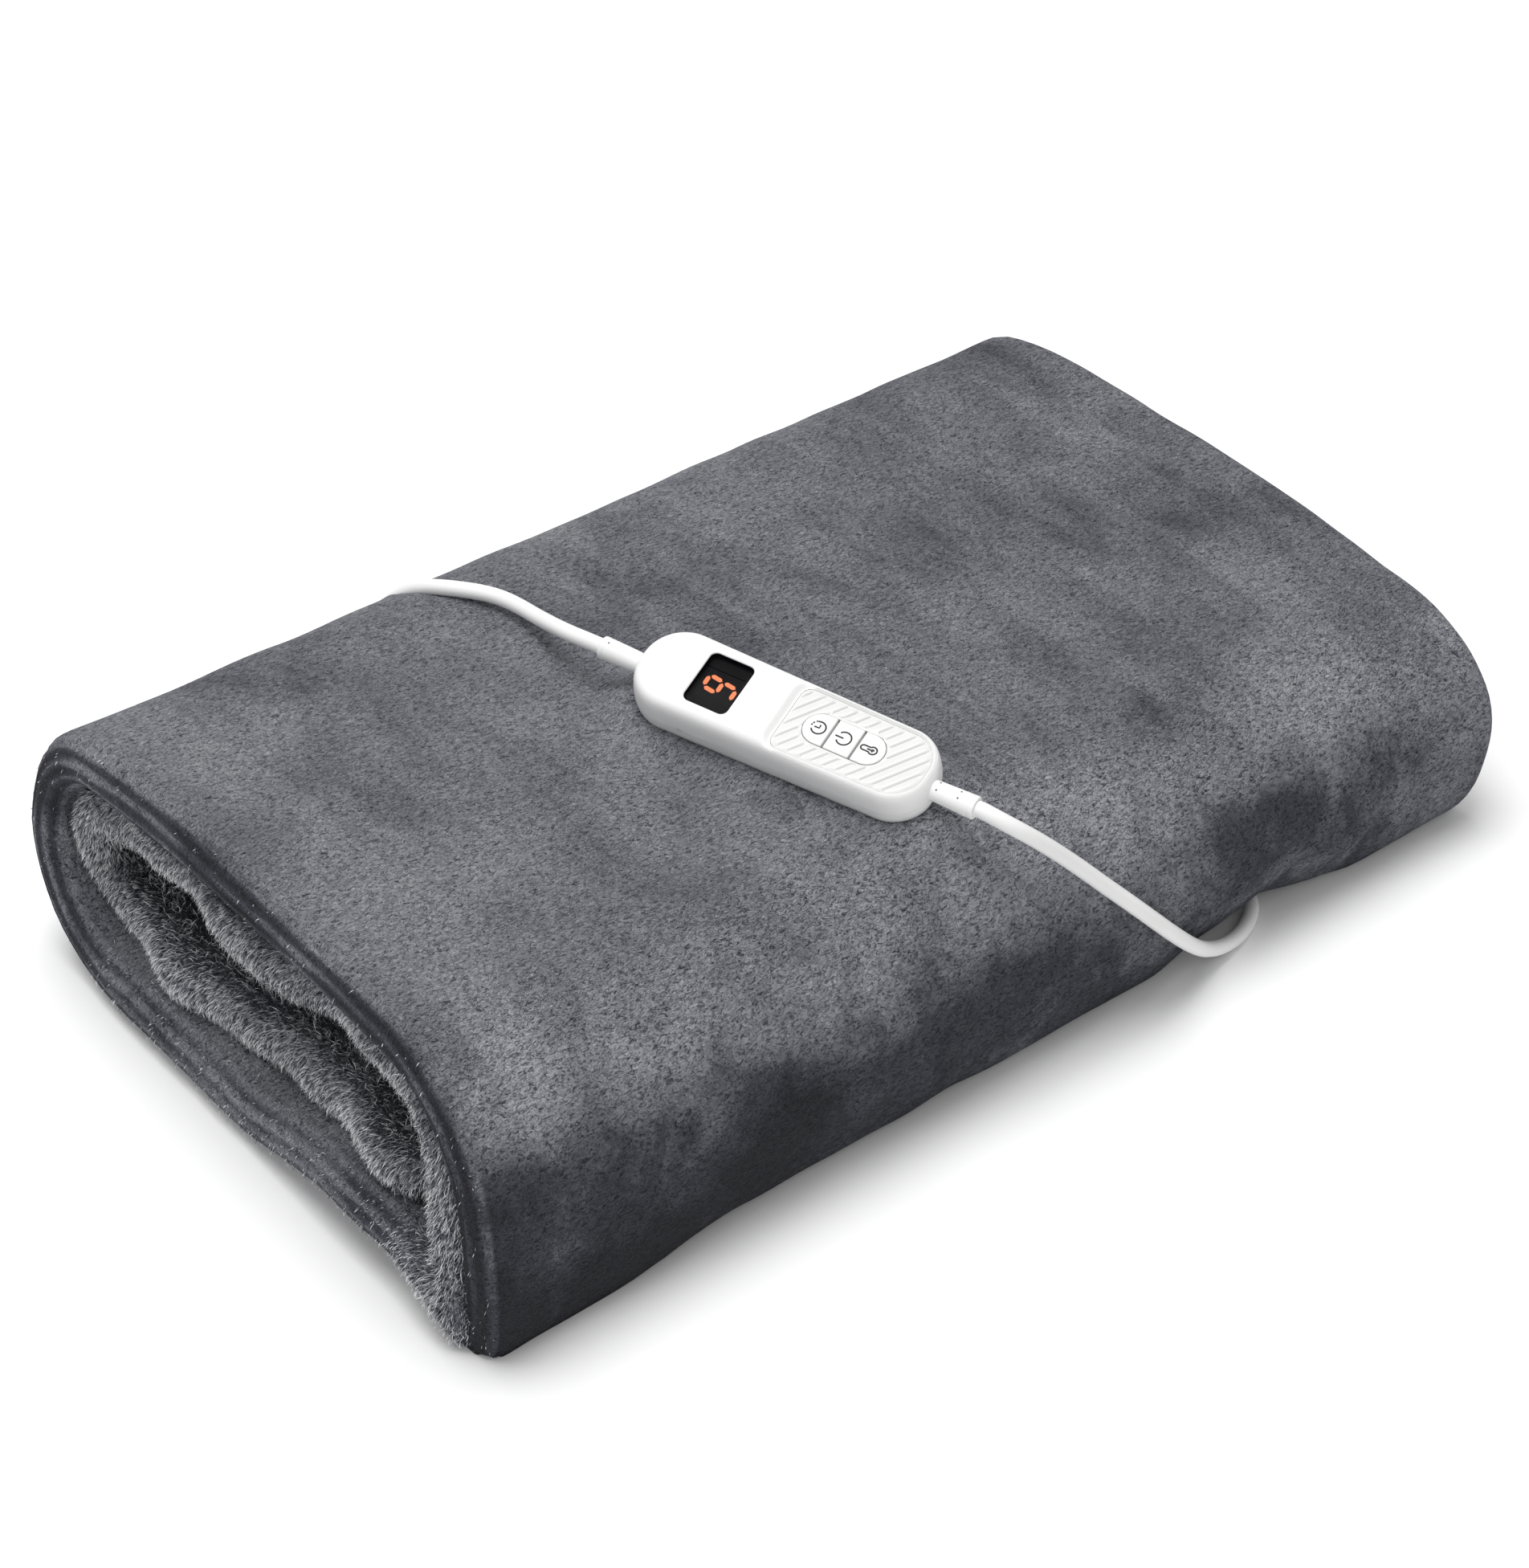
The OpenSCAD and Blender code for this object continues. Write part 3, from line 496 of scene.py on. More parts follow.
def roll_stations():
    """y, z and the outward side of the wrap's middle, how far its edge is pulled in, and
    which wrap it is."""
    rows = []
    for k, (z, way, r, pull, spacing) in enumerate(WRAPS):
        last = k == len(WRAPS) - 1
        after = pull if last else WRAPS[k + 1][3]
        for y in run(-way * FLAT / 2, way * FLAT / 2, spacing):
            rows.append([y, z * WRAP, 0, -way, pull, k])
        cz = (z + way * r) * WRAP
        sweep = END_ANGLE if last else 180
        steps = max(6, int(math.radians(sweep) * r * WRAP / spacing))
        for i in range(steps + last):
            t = i / steps
            a = math.radians((-90 if way > 0 else 90) + t * sweep)
            mixed = pull + (after - pull) * float(smoothstep(0, 1, t))
            rows.append([
                way * FLAT / 2 + r * WRAP * math.cos(a), cz + r * WRAP * math.sin(a),
                math.cos(a), math.sin(a), mixed, k + t,
            ])
    return np.array(rows)


def ripples(points, wavelength, seed, waves=9):
    """A soft random height from -1 to 1, with hills about wavelength apart."""
    source = np.random.default_rng(seed)
    flat = points.reshape(-1, 3)
    total = 0
    for _ in range(waves):
        k = unit(source.normal(size=3)) * 2 * math.pi / (wavelength * source.uniform(0.7, 1.5))
        total = total + np.sin(flat @ k + source.uniform(0, 2 * math.pi))
    return (total / math.sqrt(waves) / 1.5).reshape(points.shape[:-1])


ROLL_H = 5 * WRAP
SHIFT_X, SHIFT_Y = 1.3, 4.9
FAR_DROP, OPEN_RISE, FRONT_SWELL = 0.12, 0.18, 0.08
ARCH, CROSSING = 13.5, 8
CROSSING_X, CROSSING_HALF = 114, 50
CORNER_R, CORNER_SAG = 2 * WRAP, 15
FOOT_DROP = 4


def settle(p):
    """How the soft roll lies: fuller at its open end, lower at the far one, raised a little over
    the leads under its front."""
    X, Y = p[..., 0] / (ROLL_L / 2), p[..., 1] / (ROLL_W / 2)
    near, far, open_ = np.maximum(0, -X), np.maximum(0, X), (1 - X) / 2
    z_rel = p[..., 2] / (ROLL_H / 2) - 1
    # the far end is rounded and a little wider, the open end leans and lies further back
    x = p[..., 0] + 2.9 * z_rel * near ** 2 - (10.2 * z_rel ** 2 + 12.4 * Y ** 2) * far ** 2 + SHIFT_X
    y = p[..., 1] * (1 + 0.028 * X) + 4.4 * open_ + SHIFT_Y
    grow = 1 - FAR_DROP * X - 0.02 * Y * open_ + OPEN_RISE * (1 - Y ** 2) * open_ ** 2
    grow = grow * (1 + FRONT_SWELL * np.clip(-Y - 0.3, 0, 1) ** 2 / 0.49)
    # the space for the lead under the roll, and for its bend under the front edge
    arch = ARCH * np.clip(np.minimum((y + 128) / 36, (4.9 - y) / 44.7), 0, 1)
    arch = arch * (1 - 0.15 * smoothstep(-115, -185, x))
    crossing = CROSSING * np.maximum(0, 1 - np.abs(x - CROSSING_X) / CROSSING_HALF)
    lift = np.maximum(arch, crossing * np.clip((-60 - y) / 35, 0, 1))
    z = lift + p[..., 2] * (grow - lift / ROLL_H)
    # at the open end the inner folds sag into the front corner
    beyond = np.clip(-84 - y, 0, 36)
    sag = np.minimum(CORNER_R - np.sqrt(CORNER_R ** 2 - beyond ** 2), CORNER_SAG)
    z = z - sag * smoothstep(75, 12, z) * smoothstep(-120, -195, x)
    # the front's foot sinks to the floor where no lead holds it up
    clear = smoothstep(8, 60, np.abs(x - 108)) * smoothstep(-190, -130, x)
    z = z - FOOT_DROP * clear * smoothstep(-98, -122, y) * smoothstep(34, 10, z)
    return np.stack([x, y, np.where(z < 1, np.exp(np.minimum(z, 1) - 1), z)], axis=-1)


FOLD = fold_stations()
FOLD_X, FOLD_N, FACE_X, FACE_N = FOLD.T[..., None]
ROLL_Y, ROLL_Z, OUT_Y, OUT_Z, PULL, WRAP_NO = roll_stations().T[:, None]
OUTER_FOLD = np.hypot(np.minimum(FOLD_X - NEAR_FOLD, 0), FOLD_N) > PLY
FOLD_HEIGHT = FOLD_N / (1.5 * PLY)


def cloth_at(off):
    """The cloth's surface at an offset from its middle, as a grid of points."""
    n = FOLD_N + off * FACE_N
    x = FOLD_X + off * FACE_X
    # the inner wraps' open edge is wavy
    wave = np.sin(ROLL_Y / 19 + 2.4 * WRAP_NO)
    wave = wave + 0.55 * np.sin(ROLL_Y / 8.3 + 5 * WRAP_NO) * np.sin(ROLL_Y / 31)
    pull = PULL + 3.6 * wave * smoothstep(3.05, 2.6, WRAP_NO)
    # at the front corner the wrap inside reaches out, and the outermost one draws in
    pull = pull + 4 * smoothstep(4.62, 4.98, WRAP_NO)
    corner = np.exp(-((WRAP_NO - 2.76) / 0.17) ** 2)
    pull = pull - 5 * corner
    x = x + pull * smoothstep(-140, NEAR_FOLD, x)
    y = ROLL_Y + n * OUT_Y - 15 * corner * smoothstep(-120, -200, x)
    z = ROLL_Z + n * OUT_Z - FLOOR_GAP
    return settle(np.stack(np.broadcast_arrays(x, y, z), axis=-1))


def press_down(p):
    """The controller and the two leads press into the plush, where they lie on it."""
    m = np.array(CONTROLLER.inverted())
    local = p @ m[:3, :3].T + m[:3, 3]
    inside = inset_at(local[:, :2])
    over = smoothstep(-18, -2, inside) * (local[:, 2] > -26)
    rest = -9.6 + 4.2 * smoothstep(5, -1, inside)  # under the casing, and up round its edge
    p = p - np.array(CONTROLLER)[:3, 2] * (np.clip(local[:, 2] - rest, -8, 40) * over)[:, None]
    for line in (mains_line[:95], throw_line[:62]):  # the stretches that lie on the roll
        for q in line[::2]:
            d = np.linalg.norm(p - q, axis=1)
            near = np.flatnonzero(d < 11)
            away = unit(p[near] - q)
            push = np.maximum(0, LEAD_D / 2 + 0.3 - d[near]) + 0.2 * smoothstep(11, 4, d[near])
            p[near] += away * push[:, None]
    return p


def nap_and_painted_light_of(outer):
    """The cloth's tone, lighter (up) or darker (down): random patches of nap, and painted light and shade
    on the open end's edge, its rim, the gaps between the wraps and the front face.
    """
    near = smoothstep(-170, NEAR_FOLD, FOLD_X) * OUTER_FOLD
    top = FOLD_HEIGHT > 0.9
    outermost = smoothstep(2.8, 3.1, WRAP_NO)
    # a painted highlight along the open end's edge, painted shade on its rim below, and streaks of painted
    # light and shade along the rim's combed ridges
    nap_and_painted_light = 0.5 * np.exp(-((FOLD_X + 199) / 15) ** 2) * top * smoothstep(3.5, 4.0, WRAP_NO)
    # painted shade on the rim, which faces down and away from the light
    rim = near * smoothstep(0.93, 0.5, FOLD_HEIGHT) * smoothstep(-1.2, -0.6, FOLD_HEIGHT)
    nap_and_painted_light = nap_and_painted_light - 0.85 * rim * outermost
    # painted light and shade of the combed ridges, which the geometry alone barely shows
    combed = np.sin(9.5 * np.arctan2(FOLD_N, NEAR_FOLD - FOLD_X) + ripples(outer, 50, 8))
    nap_and_painted_light = nap_and_painted_light + 0.55 * combed * rim * outermost
    # painted shade in the gaps between the inner wraps
    painted_gap_shade = 1.1 * smoothstep(0.35, 0.9, np.abs(FOLD_HEIGHT)) - 0.15
    nap_and_painted_light = nap_and_painted_light - painted_gap_shade * near * smoothstep(3.0, 2.7, WRAP_NO)
    # painted shade on the front face, which the light from above barely reaches, most of all near the open
    # end
    turn = smoothstep(4.25, 4.75, WRAP_NO) * (WRAP_NO > 4)
    nap_and_painted_light = nap_and_painted_light - (0.8 + 1.1 * smoothstep(-40, -180, FOLD_X) * top) * turn
    return nap_and_painted_light + (0.14 + 0.3 * turn) * ripples(outer, 70, 5)


def make_throw():
    outer, inner = cloth_at(CLOTH_HALF), cloth_at(-CLOTH_HALF)
    nu, nv = outer.shape[:2]
    grid = np.stack([outer, inner])
    # soft unevenness of the pile and the layers under it
    out = unit(outer - inner)
    shown = smoothstep(2.6, 3.2, WRAP_NO) * (FOLD_N > 0)
    bumps = (0.7 * ripples(outer, 62, 1) + 0.35 * ripples(outer, 26, 2)) * shown
    combed = smoothstep(-200, NEAR_FOLD, FOLD_X) * (FOLD_HEIGHT < 0.97) * OUTER_FOLD
    ridges = 0.32 * np.sin(distances(FOLD[:, :2])[:, None] * 2.1 + 1.5 * ripples(outer, 45, 6)) * combed
    grid[0] += out * (bumps + ridges)[..., None]
    grid[1] += out * bumps[..., None]
    points = press_down(grid.reshape(-1, 3))
    points[:, 2] = np.maximum(points[:, 2], 0.05)
    a, b = np.arange(2 * nu * nv).reshape(2, nu, nv)
    faces = np.stack([a[:-1, :-1], a[1:, :-1], a[1:, 1:], a[:-1, 1:]], -1).reshape(-1, 4).tolist()
    faces += np.stack([b[:-1, :-1], b[:-1, 1:], b[1:, 1:], b[1:, :-1]], -1).reshape(-1, 4).tolist()
    edges = [(g[:, 0], g[::-1, -1], g[0, ::-1], g[-1]) for g in (a, b)]
    for x, y in zip(*edges):
        faces += np.stack([x[:-1], y[:-1], y[1:], x[1:]], -1).tolist()
    obj = mesh_object("plush_throw", points, faces)
    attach(obj, ROOT)
    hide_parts("face_ply", "back_ply", "hem_binding")
    # the outer face: nap patches with painted light and shade; the inner face: one darker tone throughout
    nap_and_painted_light = np.concatenate([nap_and_painted_light_of(outer).ravel(), np.full(nu * nv, -0.4)])
    store(obj, "nap_and_painted_light", nap_and_painted_light)
    return obj, points.reshape(2, nu, nv, 3)


def make_pile(cloth, count=36000):
    """Single strands of the long pile round the open end, where it stands away from the cloth."""
    outer, inner = cloth
    edge = smoothstep(-206, NEAR_FOLD, FOLD_X) * OUTER_FOLD * smoothstep(0.99, 0.6, FOLD_HEIGHT)
    weight = edge * (0.02 + smoothstep(3.05, 2.75, WRAP_NO))
    here = outer[:-1, :-1]
    size = np.linalg.norm(np.cross(outer[1:, :-1] - here, outer[:-1, 1:] - here), axis=-1)
    share = (weight[:-1, :-1] * size).ravel()
    cell = rng.choice(share.size, count, p=share / share.sum())
    i, j = np.divmod(cell, outer.shape[1] - 1)
    a, b = rng.random((2, count, 1))
    root = between(outer, i, j, a, b)
    out = unit(outer[i, j] - inner[i, j])
    down = np.array([-0.3, 0, -1.0]) + 0.35 * rng.normal(size=(count, 3))
    comb = unit(down - out * (down * out).sum(1, keepdims=True))
    lean = rng.uniform(0.5, 1.5, (count, 1))
    length = rng.uniform(2.2, 5, (count, 1)) * (0.5 + 0.55 * smoothstep(3.1, 2.7, WRAP_NO[0, j])[:, None])
    middle = root + unit(out + lean * 0.6 * comb) * length * 0.55
    tip = middle + unit(out * 0.5 + lean * comb) * length * 0.5
    side = unit(np.cross(tip - root, out + 0.4 * rng.normal(size=(count, 3))))
    side = side * rng.uniform(0.1, 0.2, (count, 1))
    points = np.stack([root - side, root + side, middle - 0.7 * side, middle + 0.7 * side, tip], axis=1)
    points = points - out[:, None] * 0.3
    points[..., 2] = np.maximum(points[..., 2], 0.1)
    n = 5 * np.arange(count)[:, None]
    faces = np.concatenate([n + [[0, 1, 3, 2]]], axis=1).tolist() + (n + [[2, 3, 4]]).tolist()
    obj = mesh_object("pile_strands", points.reshape(-1, 3), faces)
    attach(obj, ROOT)
    # painted shade towards each strand's root and a painted highlight towards its tip, with a random tone
    # per strand
    shade = np.tile([0, 0, 0.5, 0.5, 1.0], count) + np.repeat(rng.uniform(-0.25, 0.25, count), 5)
    store(obj, "tip", shade)
    return obj


WIRE_R, WIRE_RUNS, WIRE_STATION = 0.85, 8, 30


def make_wire(cloth):
    """The heating wire between the plies: along the hem, then to and fro over the throw. Its runs
    are spaced evenly round the roll, as measured at one station of the fold."""
    middle = cloth.mean(axis=0)
    nu, nv = middle.shape[:2]
    lengths = distances(middle[WIRE_STATION])
    rows = np.interp(np.linspace(0.05, 0.95, WIRE_RUNS) * lengths[-1], lengths, np.arange(nv))
    path = [(2, v) for v in np.arange(nv - 4, rows[0], -2.0)]
    for k, v in enumerate(rows):
        ends = (3.0, nu - 4.0) if k % 2 == 0 else (nu - 4.0, 3.0)
        path += [(u, v) for u in np.linspace(*ends, nu - 6)]
        if k < WIRE_RUNS - 1:
            path += [(ends[1], w) for w in np.linspace(v, rows[k + 1], 10)[1:-1]]
    path = np.array(path)
    i, j = np.floor(path).astype(int).T
    a, b = (path - np.floor(path)).T[..., None]
    return tube(between(middle, i, j, a, b), WIRE_R, 6)


throw, cloth = make_throw()
paint(throw, plush_material())

# -------- controller
# How the two shells round off: the distance inside the outline, and the height
TOP_EDGE = [(0, -1), (0.06, 0.4), (0.16, 2), (0.32, 3.6), (0.6, 5), (1.0, 6.15), (1.5, 7.0), (2.1, 7.66),
            (2.9, 8.2), (3.9, 8.58), (5.2, 8.8), (7, 8.92), (9, 8.97), (12, 9), (30, 9)]
FOOT_EDGE = [(0, -1), (0.1, -2.8), (0.25, -4.4), (0.45, -5.6), (0.8, -6.7), (1.3, -7.6), (2, -8.3),
             (2.9, -8.8), (4, -9), (30, -9)]
POCKET_INSET, POCKET_X, POCKET_R = 3.0, 0.6, 4.0
POCKET_FLOOR = 6.75
WINDOW_X, WINDOW = -25.5, (17, 21.8, 2.5)
KEYPAD_X, KEYPAD = 23, (31, 13)
SCREWS = [(-45, 10.5), (-45, -10.5), (48, 8.5), (48, -8.5)]


def outline(inset):
    """The casing's outline, moved inwards."""
    corners = [(END - R2, W2 - R2, R2, 0), (R1 - END, W1 - R1, R1, 90),
               (R1 - END, R1 - W1, R1, 180), (END - R2, R2 - W2, R2, 270)]
    points = []
    for cx, cy, r, begin in corners:
        for a in np.radians(np.linspace(begin, begin + 90, 19)):
            points.append((cx + (r - inset) * math.cos(a), cy + (r - inset) * math.sin(a)))
    out = []
    for a, b in zip(points, points[1:] + points[:1]):
        n = max(1, int(math.dist(a, b) / 1.8))
        out += [(a[0] + (b[0] - a[0]) * k / n, a[1] + (b[1] - a[1]) * k / n) for k in range(n)]
    return np.array(out)


def pocket_at(p):
    """How far inside the keypad's pocket a point is."""
    u, v = inset_at(p) - POCKET_INSET, p[:, 0] - POCKET_X
    corner = POCKET_R - np.hypot(np.maximum(POCKET_R - u, 0), np.maximum(POCKET_R - v, 0))
    return np.where((u < POCKET_R) | (v < POCKET_R), corner, np.minimum(u, v))


def rounded_at(p, x, size):
    """How far outside a rectangle with round corners a point is."""
    l, w, r = size
    q = np.abs(p - (x, 0)) - (l / 2 - r, w / 2 - r)
    return np.hypot(*np.maximum(q, 0).T) + np.minimum(q.max(axis=1), 0) - r


def rounded(x, size, out=0.0, step=9):
    l, w, r = size
    points = []
    for k, (sx, sy) in enumerate(((1, 1), (-1, 1), (-1, -1), (1, -1))):
        cx, cy = x + sx * (l / 2 - r), sy * (w / 2 - r)
        for a in np.radians(np.linspace(90 * k, 90 * k + 90, step)):
            points.append((cx + (r + out) * math.cos(a), cy + (r + out) * math.sin(a)))
    return np.array(points)


def circle(x, y, r, n=24):
    a = np.arange(n) * 2 * math.pi / n
    return np.column_stack([x + r * np.cos(a), y + r * np.sin(a)])


def filled(loops, rows, keep):
    """Triangles between closed loops and open rows of points; keep picks the ones that stay."""
    points, edges = [], []
    for row, closed in [(r, True) for r in loops] + [(r, False) for r in rows]:
        n = len(points)
        points += [Vector(map(float, q)) for q in row]
        edges += [(n + i, n + i + 1) for i in range(len(row) - 1)]
        if closed:
            edges.append((n + len(row) - 1, n))
    out = delaunay_2d_cdt(points, edges, [], 0, 1e-4)
    xy = np.array([tuple(v) for v in out[0]])
    faces = np.array(out[2])
    a, b, c = (xy[faces[:, k]] for k in range(3))
    turn = (b - a)[:, 0] * (c - a)[:, 1] - (b - a)[:, 1] * (c - a)[:, 0]
    faces[turn < 0] = faces[turn < 0][:, ::-1]
    return xy, faces[(np.abs(turn) > 1e-7) & keep((a + b + c) / 3)]


def runs(row, keep, closed=True):
    """The stretches of a row of points where keep holds."""
    ok = keep(row)
    if closed and not ok.all() and ok.any():
        first = int(np.flatnonzero(~ok)[0])
        row, ok = np.roll(row, -first, axis=0), np.roll(ok, -first)
    out, run_ = [], []
    for q, good in zip(row, ok):
        if good:
            run_.append(q)
        elif run_:
            out.append(run_)
            run_ = []
    return [r for r in out + [run_] if len(r) > 1]


def thick(points, faces, depth):
    """A skin with its back surface and its rims, as points and faces."""
    a, b, c = (points[faces[:, k]] for k in range(3))
    flat = np.cross(b - a, c - a)
    out = np.zeros_like(points)
    for k in range(3):
        np.add.at(out, faces[:, k], flat)
    back = points - unit(out) * depth
    n = len(points)
    edges = {(int(f[k]), int(f[(k + 1) % 3])) for f in faces for k in range(3)}
    rim = [(b, a, a + n, b + n) for a, b in edges if (b, a) not in edges]
    return np.vstack([points, back]), faces.tolist() + (faces[:, ::-1] + n).tolist() + rim


def part(name, points, faces, slot, material, replaced=(), body=ROOT, sharp=35, local=True):
    """A finished mesh piece, given in the controller's frame."""
    obj = mesh_object(name, on_controller(points) if local else points, faces)
    obj.data.set_sharp_from_angle(angle=math.radians(sharp))
    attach(obj, body)
    if replaced:
        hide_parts(*replaced)
    paint(obj, material)
    return obj


def joined(pieces):
    """Several point and face lists as one."""
    points, faces, n = [], [], 0
    for p, f in pieces:
        points.append(np.asarray(p, float))
        faces += [[int(i) + n for i in face] for face in f]
        n += len(p)
    return np.vstack(points), faces


def level(xy, z):
    return np.column_stack([xy, np.full(len(xy), float(z))])


def turned(profile, sides=40):
    """A solid of revolution about X, from (x, r) pairs."""
    a = np.arange(sides) * 2 * math.pi / sides
    loops = [np.column_stack([np.full(sides, x), r * np.cos(a), r * np.sin(a)]) for x, r in profile]
    return stacked(loops, ring=True)


WHITE = plastic_material("white_plastic", (0.86, 0.86, 0.855, 1), 0.34)
WHITE_KEY = plastic_material("white_key", (0.74, 0.74, 0.735, 1), 0.4)
WHITE_PANEL = plastic_material("white_panel", (0.72, 0.72, 0.715, 1), 0.4)
LEAD_WHITE = plastic_material("lead_white", (0.86, 0.86, 0.855, 1), 0.42, 0.4, 0.04, 500)
PRINT = plastic_material("grey_print", (0.02, 0.02, 0.022, 1), 0.5)
MARK = plastic_material("mould_mark", (0.13, 0.13, 0.13, 1), 0.6)
LENS = plastic_material("dark_lens", (0.002, 0.002, 0.003, 1), 0.1, 0.02, Alpha=0.42,
                        Specular_IOR_Level=0.03)
RED = plastic_material("wire_insulation", (0.32, 0.03, 0.02, 1), 0.5)
MASK = plastic_material("mask", (0.004, 0.004, 0.004, 1), 0.5)


def top_height(p):
    """The upper shell's face, with its edge rounded off and sunk to the window and the pocket."""
    z = np.interp(inset_at(p), *zip(*TOP_EDGE))
    z -= 0.5 * (1 - np.clip(rounded_at(p, WINDOW_X, WINDOW) / 0.5, 0, 1)) ** 2
    width = 0.75 + 2.3 * smoothstep(POCKET_R + 1, POCKET_R - 3, p[:, 0])
    return z + (POCKET_FLOOR - z) * smoothstep(-width, 0, pocket_at(p))


def make_upper_shell():
    def outside(p):
        return (pocket_at(p) < 0) & (rounded_at(p, WINDOW_X, WINDOW) > 0)

    def clear(p):
        return (pocket_at(p) < -3.4) & (rounded_at(p, WINDOW_X, WINDOW) > 0.9)

    loops = [outline(d) for d in (0, 0.06, 0.16, 0.32, 0.6, 1.0, 1.5, 2.1)]
    rows = []
    for d in (2.9, 3.9, 5.2, 7, 9, 12):
        rows += runs(outline(d), clear)
    loops += [rounded(WINDOW_X, WINDOW, out) for out in (0, 0.12, 0.28, 0.5)]
    loops += [pocket_line(depth) for depth in (0, -0.12, -0.25, -0.4, -0.6)]
    for depth in (-0.8, -1.1, -1.5, -1.9, -2.3, -2.7, -3.1):
        rows += runs(pocket_line(depth), lambda p: (inset_at(p) > 2.3) & (p[:, 0] < POCKET_X + 2))
    xy, faces = filled(loops, rows, outside)
    points, faces = thick(np.column_stack([xy, top_height(xy)]), faces, 1.5)
    part("upper_casing", points, faces, "white_shell", WHITE, ["upper_shell"], sharp=50)


def pocket_line(depth):
    """The pocket's outline, moved inwards by depth."""
    whole = outline(POCKET_INSET + depth)
    right = whole[whole[:, 0] > POCKET_X + POCKET_R]
    far = right[np.argsort(np.arctan2(right[:, 1], right[:, 0] - POCKET_X - POCKET_R))]
    x = POCKET_X + POCKET_R
    side = W1 + (W2 - W1) * (x - (R1 - END)) / (2 * END - R1 - R2) - POCKET_INSET
    r = POCKET_R - depth
    bend = np.array([(x - r * math.sin(a), side - POCKET_R + r * math.cos(a))
                     for a in np.radians(np.linspace(0, 90, 10))])
    n = int((side - POCKET_R) / 1.5)
    across = np.linspace(bend[-1][1], -bend[-1][1], 2 * n + 1)[1:-1]
    edge = np.column_stack([np.full(2 * n - 1, POCKET_X + depth), across])
    return np.vstack([far, bend, edge, bend[::-1] * (1, -1)])


def make_lower_shell():
    def solid(p):
        return np.all([np.hypot(*(p - c).T) > 2.4 for c in SCREWS], axis=0)

    loops = [outline(d) for d in (0, 0.1, 0.25, 0.45, 0.8, 1.3, 2, 2.9, 4)]
    loops += [circle(x, y, r) for x, y in SCREWS for r in (2.4, 2.5, 2.7)]
    xy, faces = filled(loops, [], solid)
    z = np.interp(inset_at(xy), *zip(*FOOT_EDGE)) - 0.08
    for c in SCREWS:
        z += 0.25 * (1 - np.clip((np.hypot(*(xy - c).T) - 2.4) / 0.3, 0, 1)) ** 2
    points, faces = thick(np.column_stack([xy, z]), faces[:, ::-1], 1.5)
    part("lower_casing", points, faces, "white_shell", WHITE, ["lower_shell"], sharp=50)


RIB_PITCH, RIB_TURN, RIB_HEIGHT = 3.6, math.radians(-36), 0.66
RIB_CREST, RIB_BACK = 0.78, 0.22
PANEL_TOP = 6.86


def rib_height(p):
    """Ribs with a long soft side and a short one, fading out at the panel's edges."""
    f = ((p[:, 0] * math.cos(RIB_TURN) + p[:, 1] * math.sin(RIB_TURN)) / RIB_PITCH) % 1
    rise = np.where(f < RIB_CREST, np.sin(math.pi / 2 * f / RIB_CREST),
                    np.cos(math.pi / 2 * (f - RIB_CREST) / RIB_BACK))
    edge = smoothstep(0, 1.3, pocket_at(p) - 0.15)
    keys = smoothstep(0, 0.7, rounded_at(p, KEYPAD_X, (*KEYPAD, KEYPAD[1] / 2)))
    ribs = RIB_HEIGHT * rise * edge * (0.35 + 0.65 * keys)
    return PANEL_TOP + ribs + 0.12 * (1 - keys) - 0.2 * (1 - smoothstep(0.1, 0.5, pocket_at(p)))


def make_panel():
    stadium = (*KEYPAD, KEYPAD[1] / 2 - 0.001)

    def inside(p):
        return (pocket_at(p) > 0.1) & (rounded_at(p, KEYPAD_X, stadium) > 0)

    def clear(p):
        return (pocket_at(p) > 0.75) & (rounded_at(p, KEYPAD_X, stadium) > 0.7)

    loops = [pocket_line(d) for d in (0.1, 0.25, 0.5)]
    loops += [rounded(KEYPAD_X, stadium, out, 16) for out in (0, 0.2, 0.45)]
    rows = []
    c, s = math.cos(RIB_TURN), math.sin(RIB_TURN)
    for k in range(-6, 26):
        for f in (0, 0.1, 0.22, 0.36, 0.52, 0.68, 0.78, 0.84, 0.9, 0.96):
            at = (k + f) * RIB_PITCH
            along = np.linspace(-50, 50, 61)
            row = np.column_stack([at * c - along * s, at * s + along * c])
            rows += runs(row, clear, False)
    xy, faces = filled(loops, rows, inside)
    points, faces = thick(np.column_stack([xy, rib_height(xy)]), faces, 0.9)
    part("ribbed_panel", points, faces, "white_panel", WHITE_PANEL, ["button_panel"], sharp=60)


KEY_GAP = 0.15


def key_outline(begin, end, g):
    """A key's outline inside the keypad's stadium, from x = begin to x = end, moved inwards by g."""
    l, w = KEYPAD
    arc_x, r = l / 2 - w / 2, w / 2 - g
    corner = max(0.6 - max(g, 0), 0.08)
    points = []

    def turn(cx, cy, r_, a, b, steps):
        for t in np.radians(np.linspace(a, b, steps)):
            points.append((KEYPAD_X + cx + r_ * math.cos(t), cy + r_ * math.sin(t)))

    for side, stop, angle in ((1, end, -90), (-1, begin, 90)):
        if side * stop > l / 2:
            turn(side * arc_x, 0, r, angle, angle + 180, 25)
            continue
        x = stop - side * KEY_GAP - side * max(g, 0) - side * corner
        turn(x, side * (corner - r), corner, angle, angle + 90, 6)
        turn(x, side * (r - corner), corner, angle + 90, angle + 180, 6)
    return np.array(points)


# From the key's hidden flange to its top: how far inside the outline, and the height
KEY_LEVELS = [(-0.6, 3.2), (-0.6, 4.15), (0.22, 4.2), (0.22, 7.2), (0.26, 7.36), (0.36, 7.48), (0.52, 7.55),
              (0.9, 7.58)]


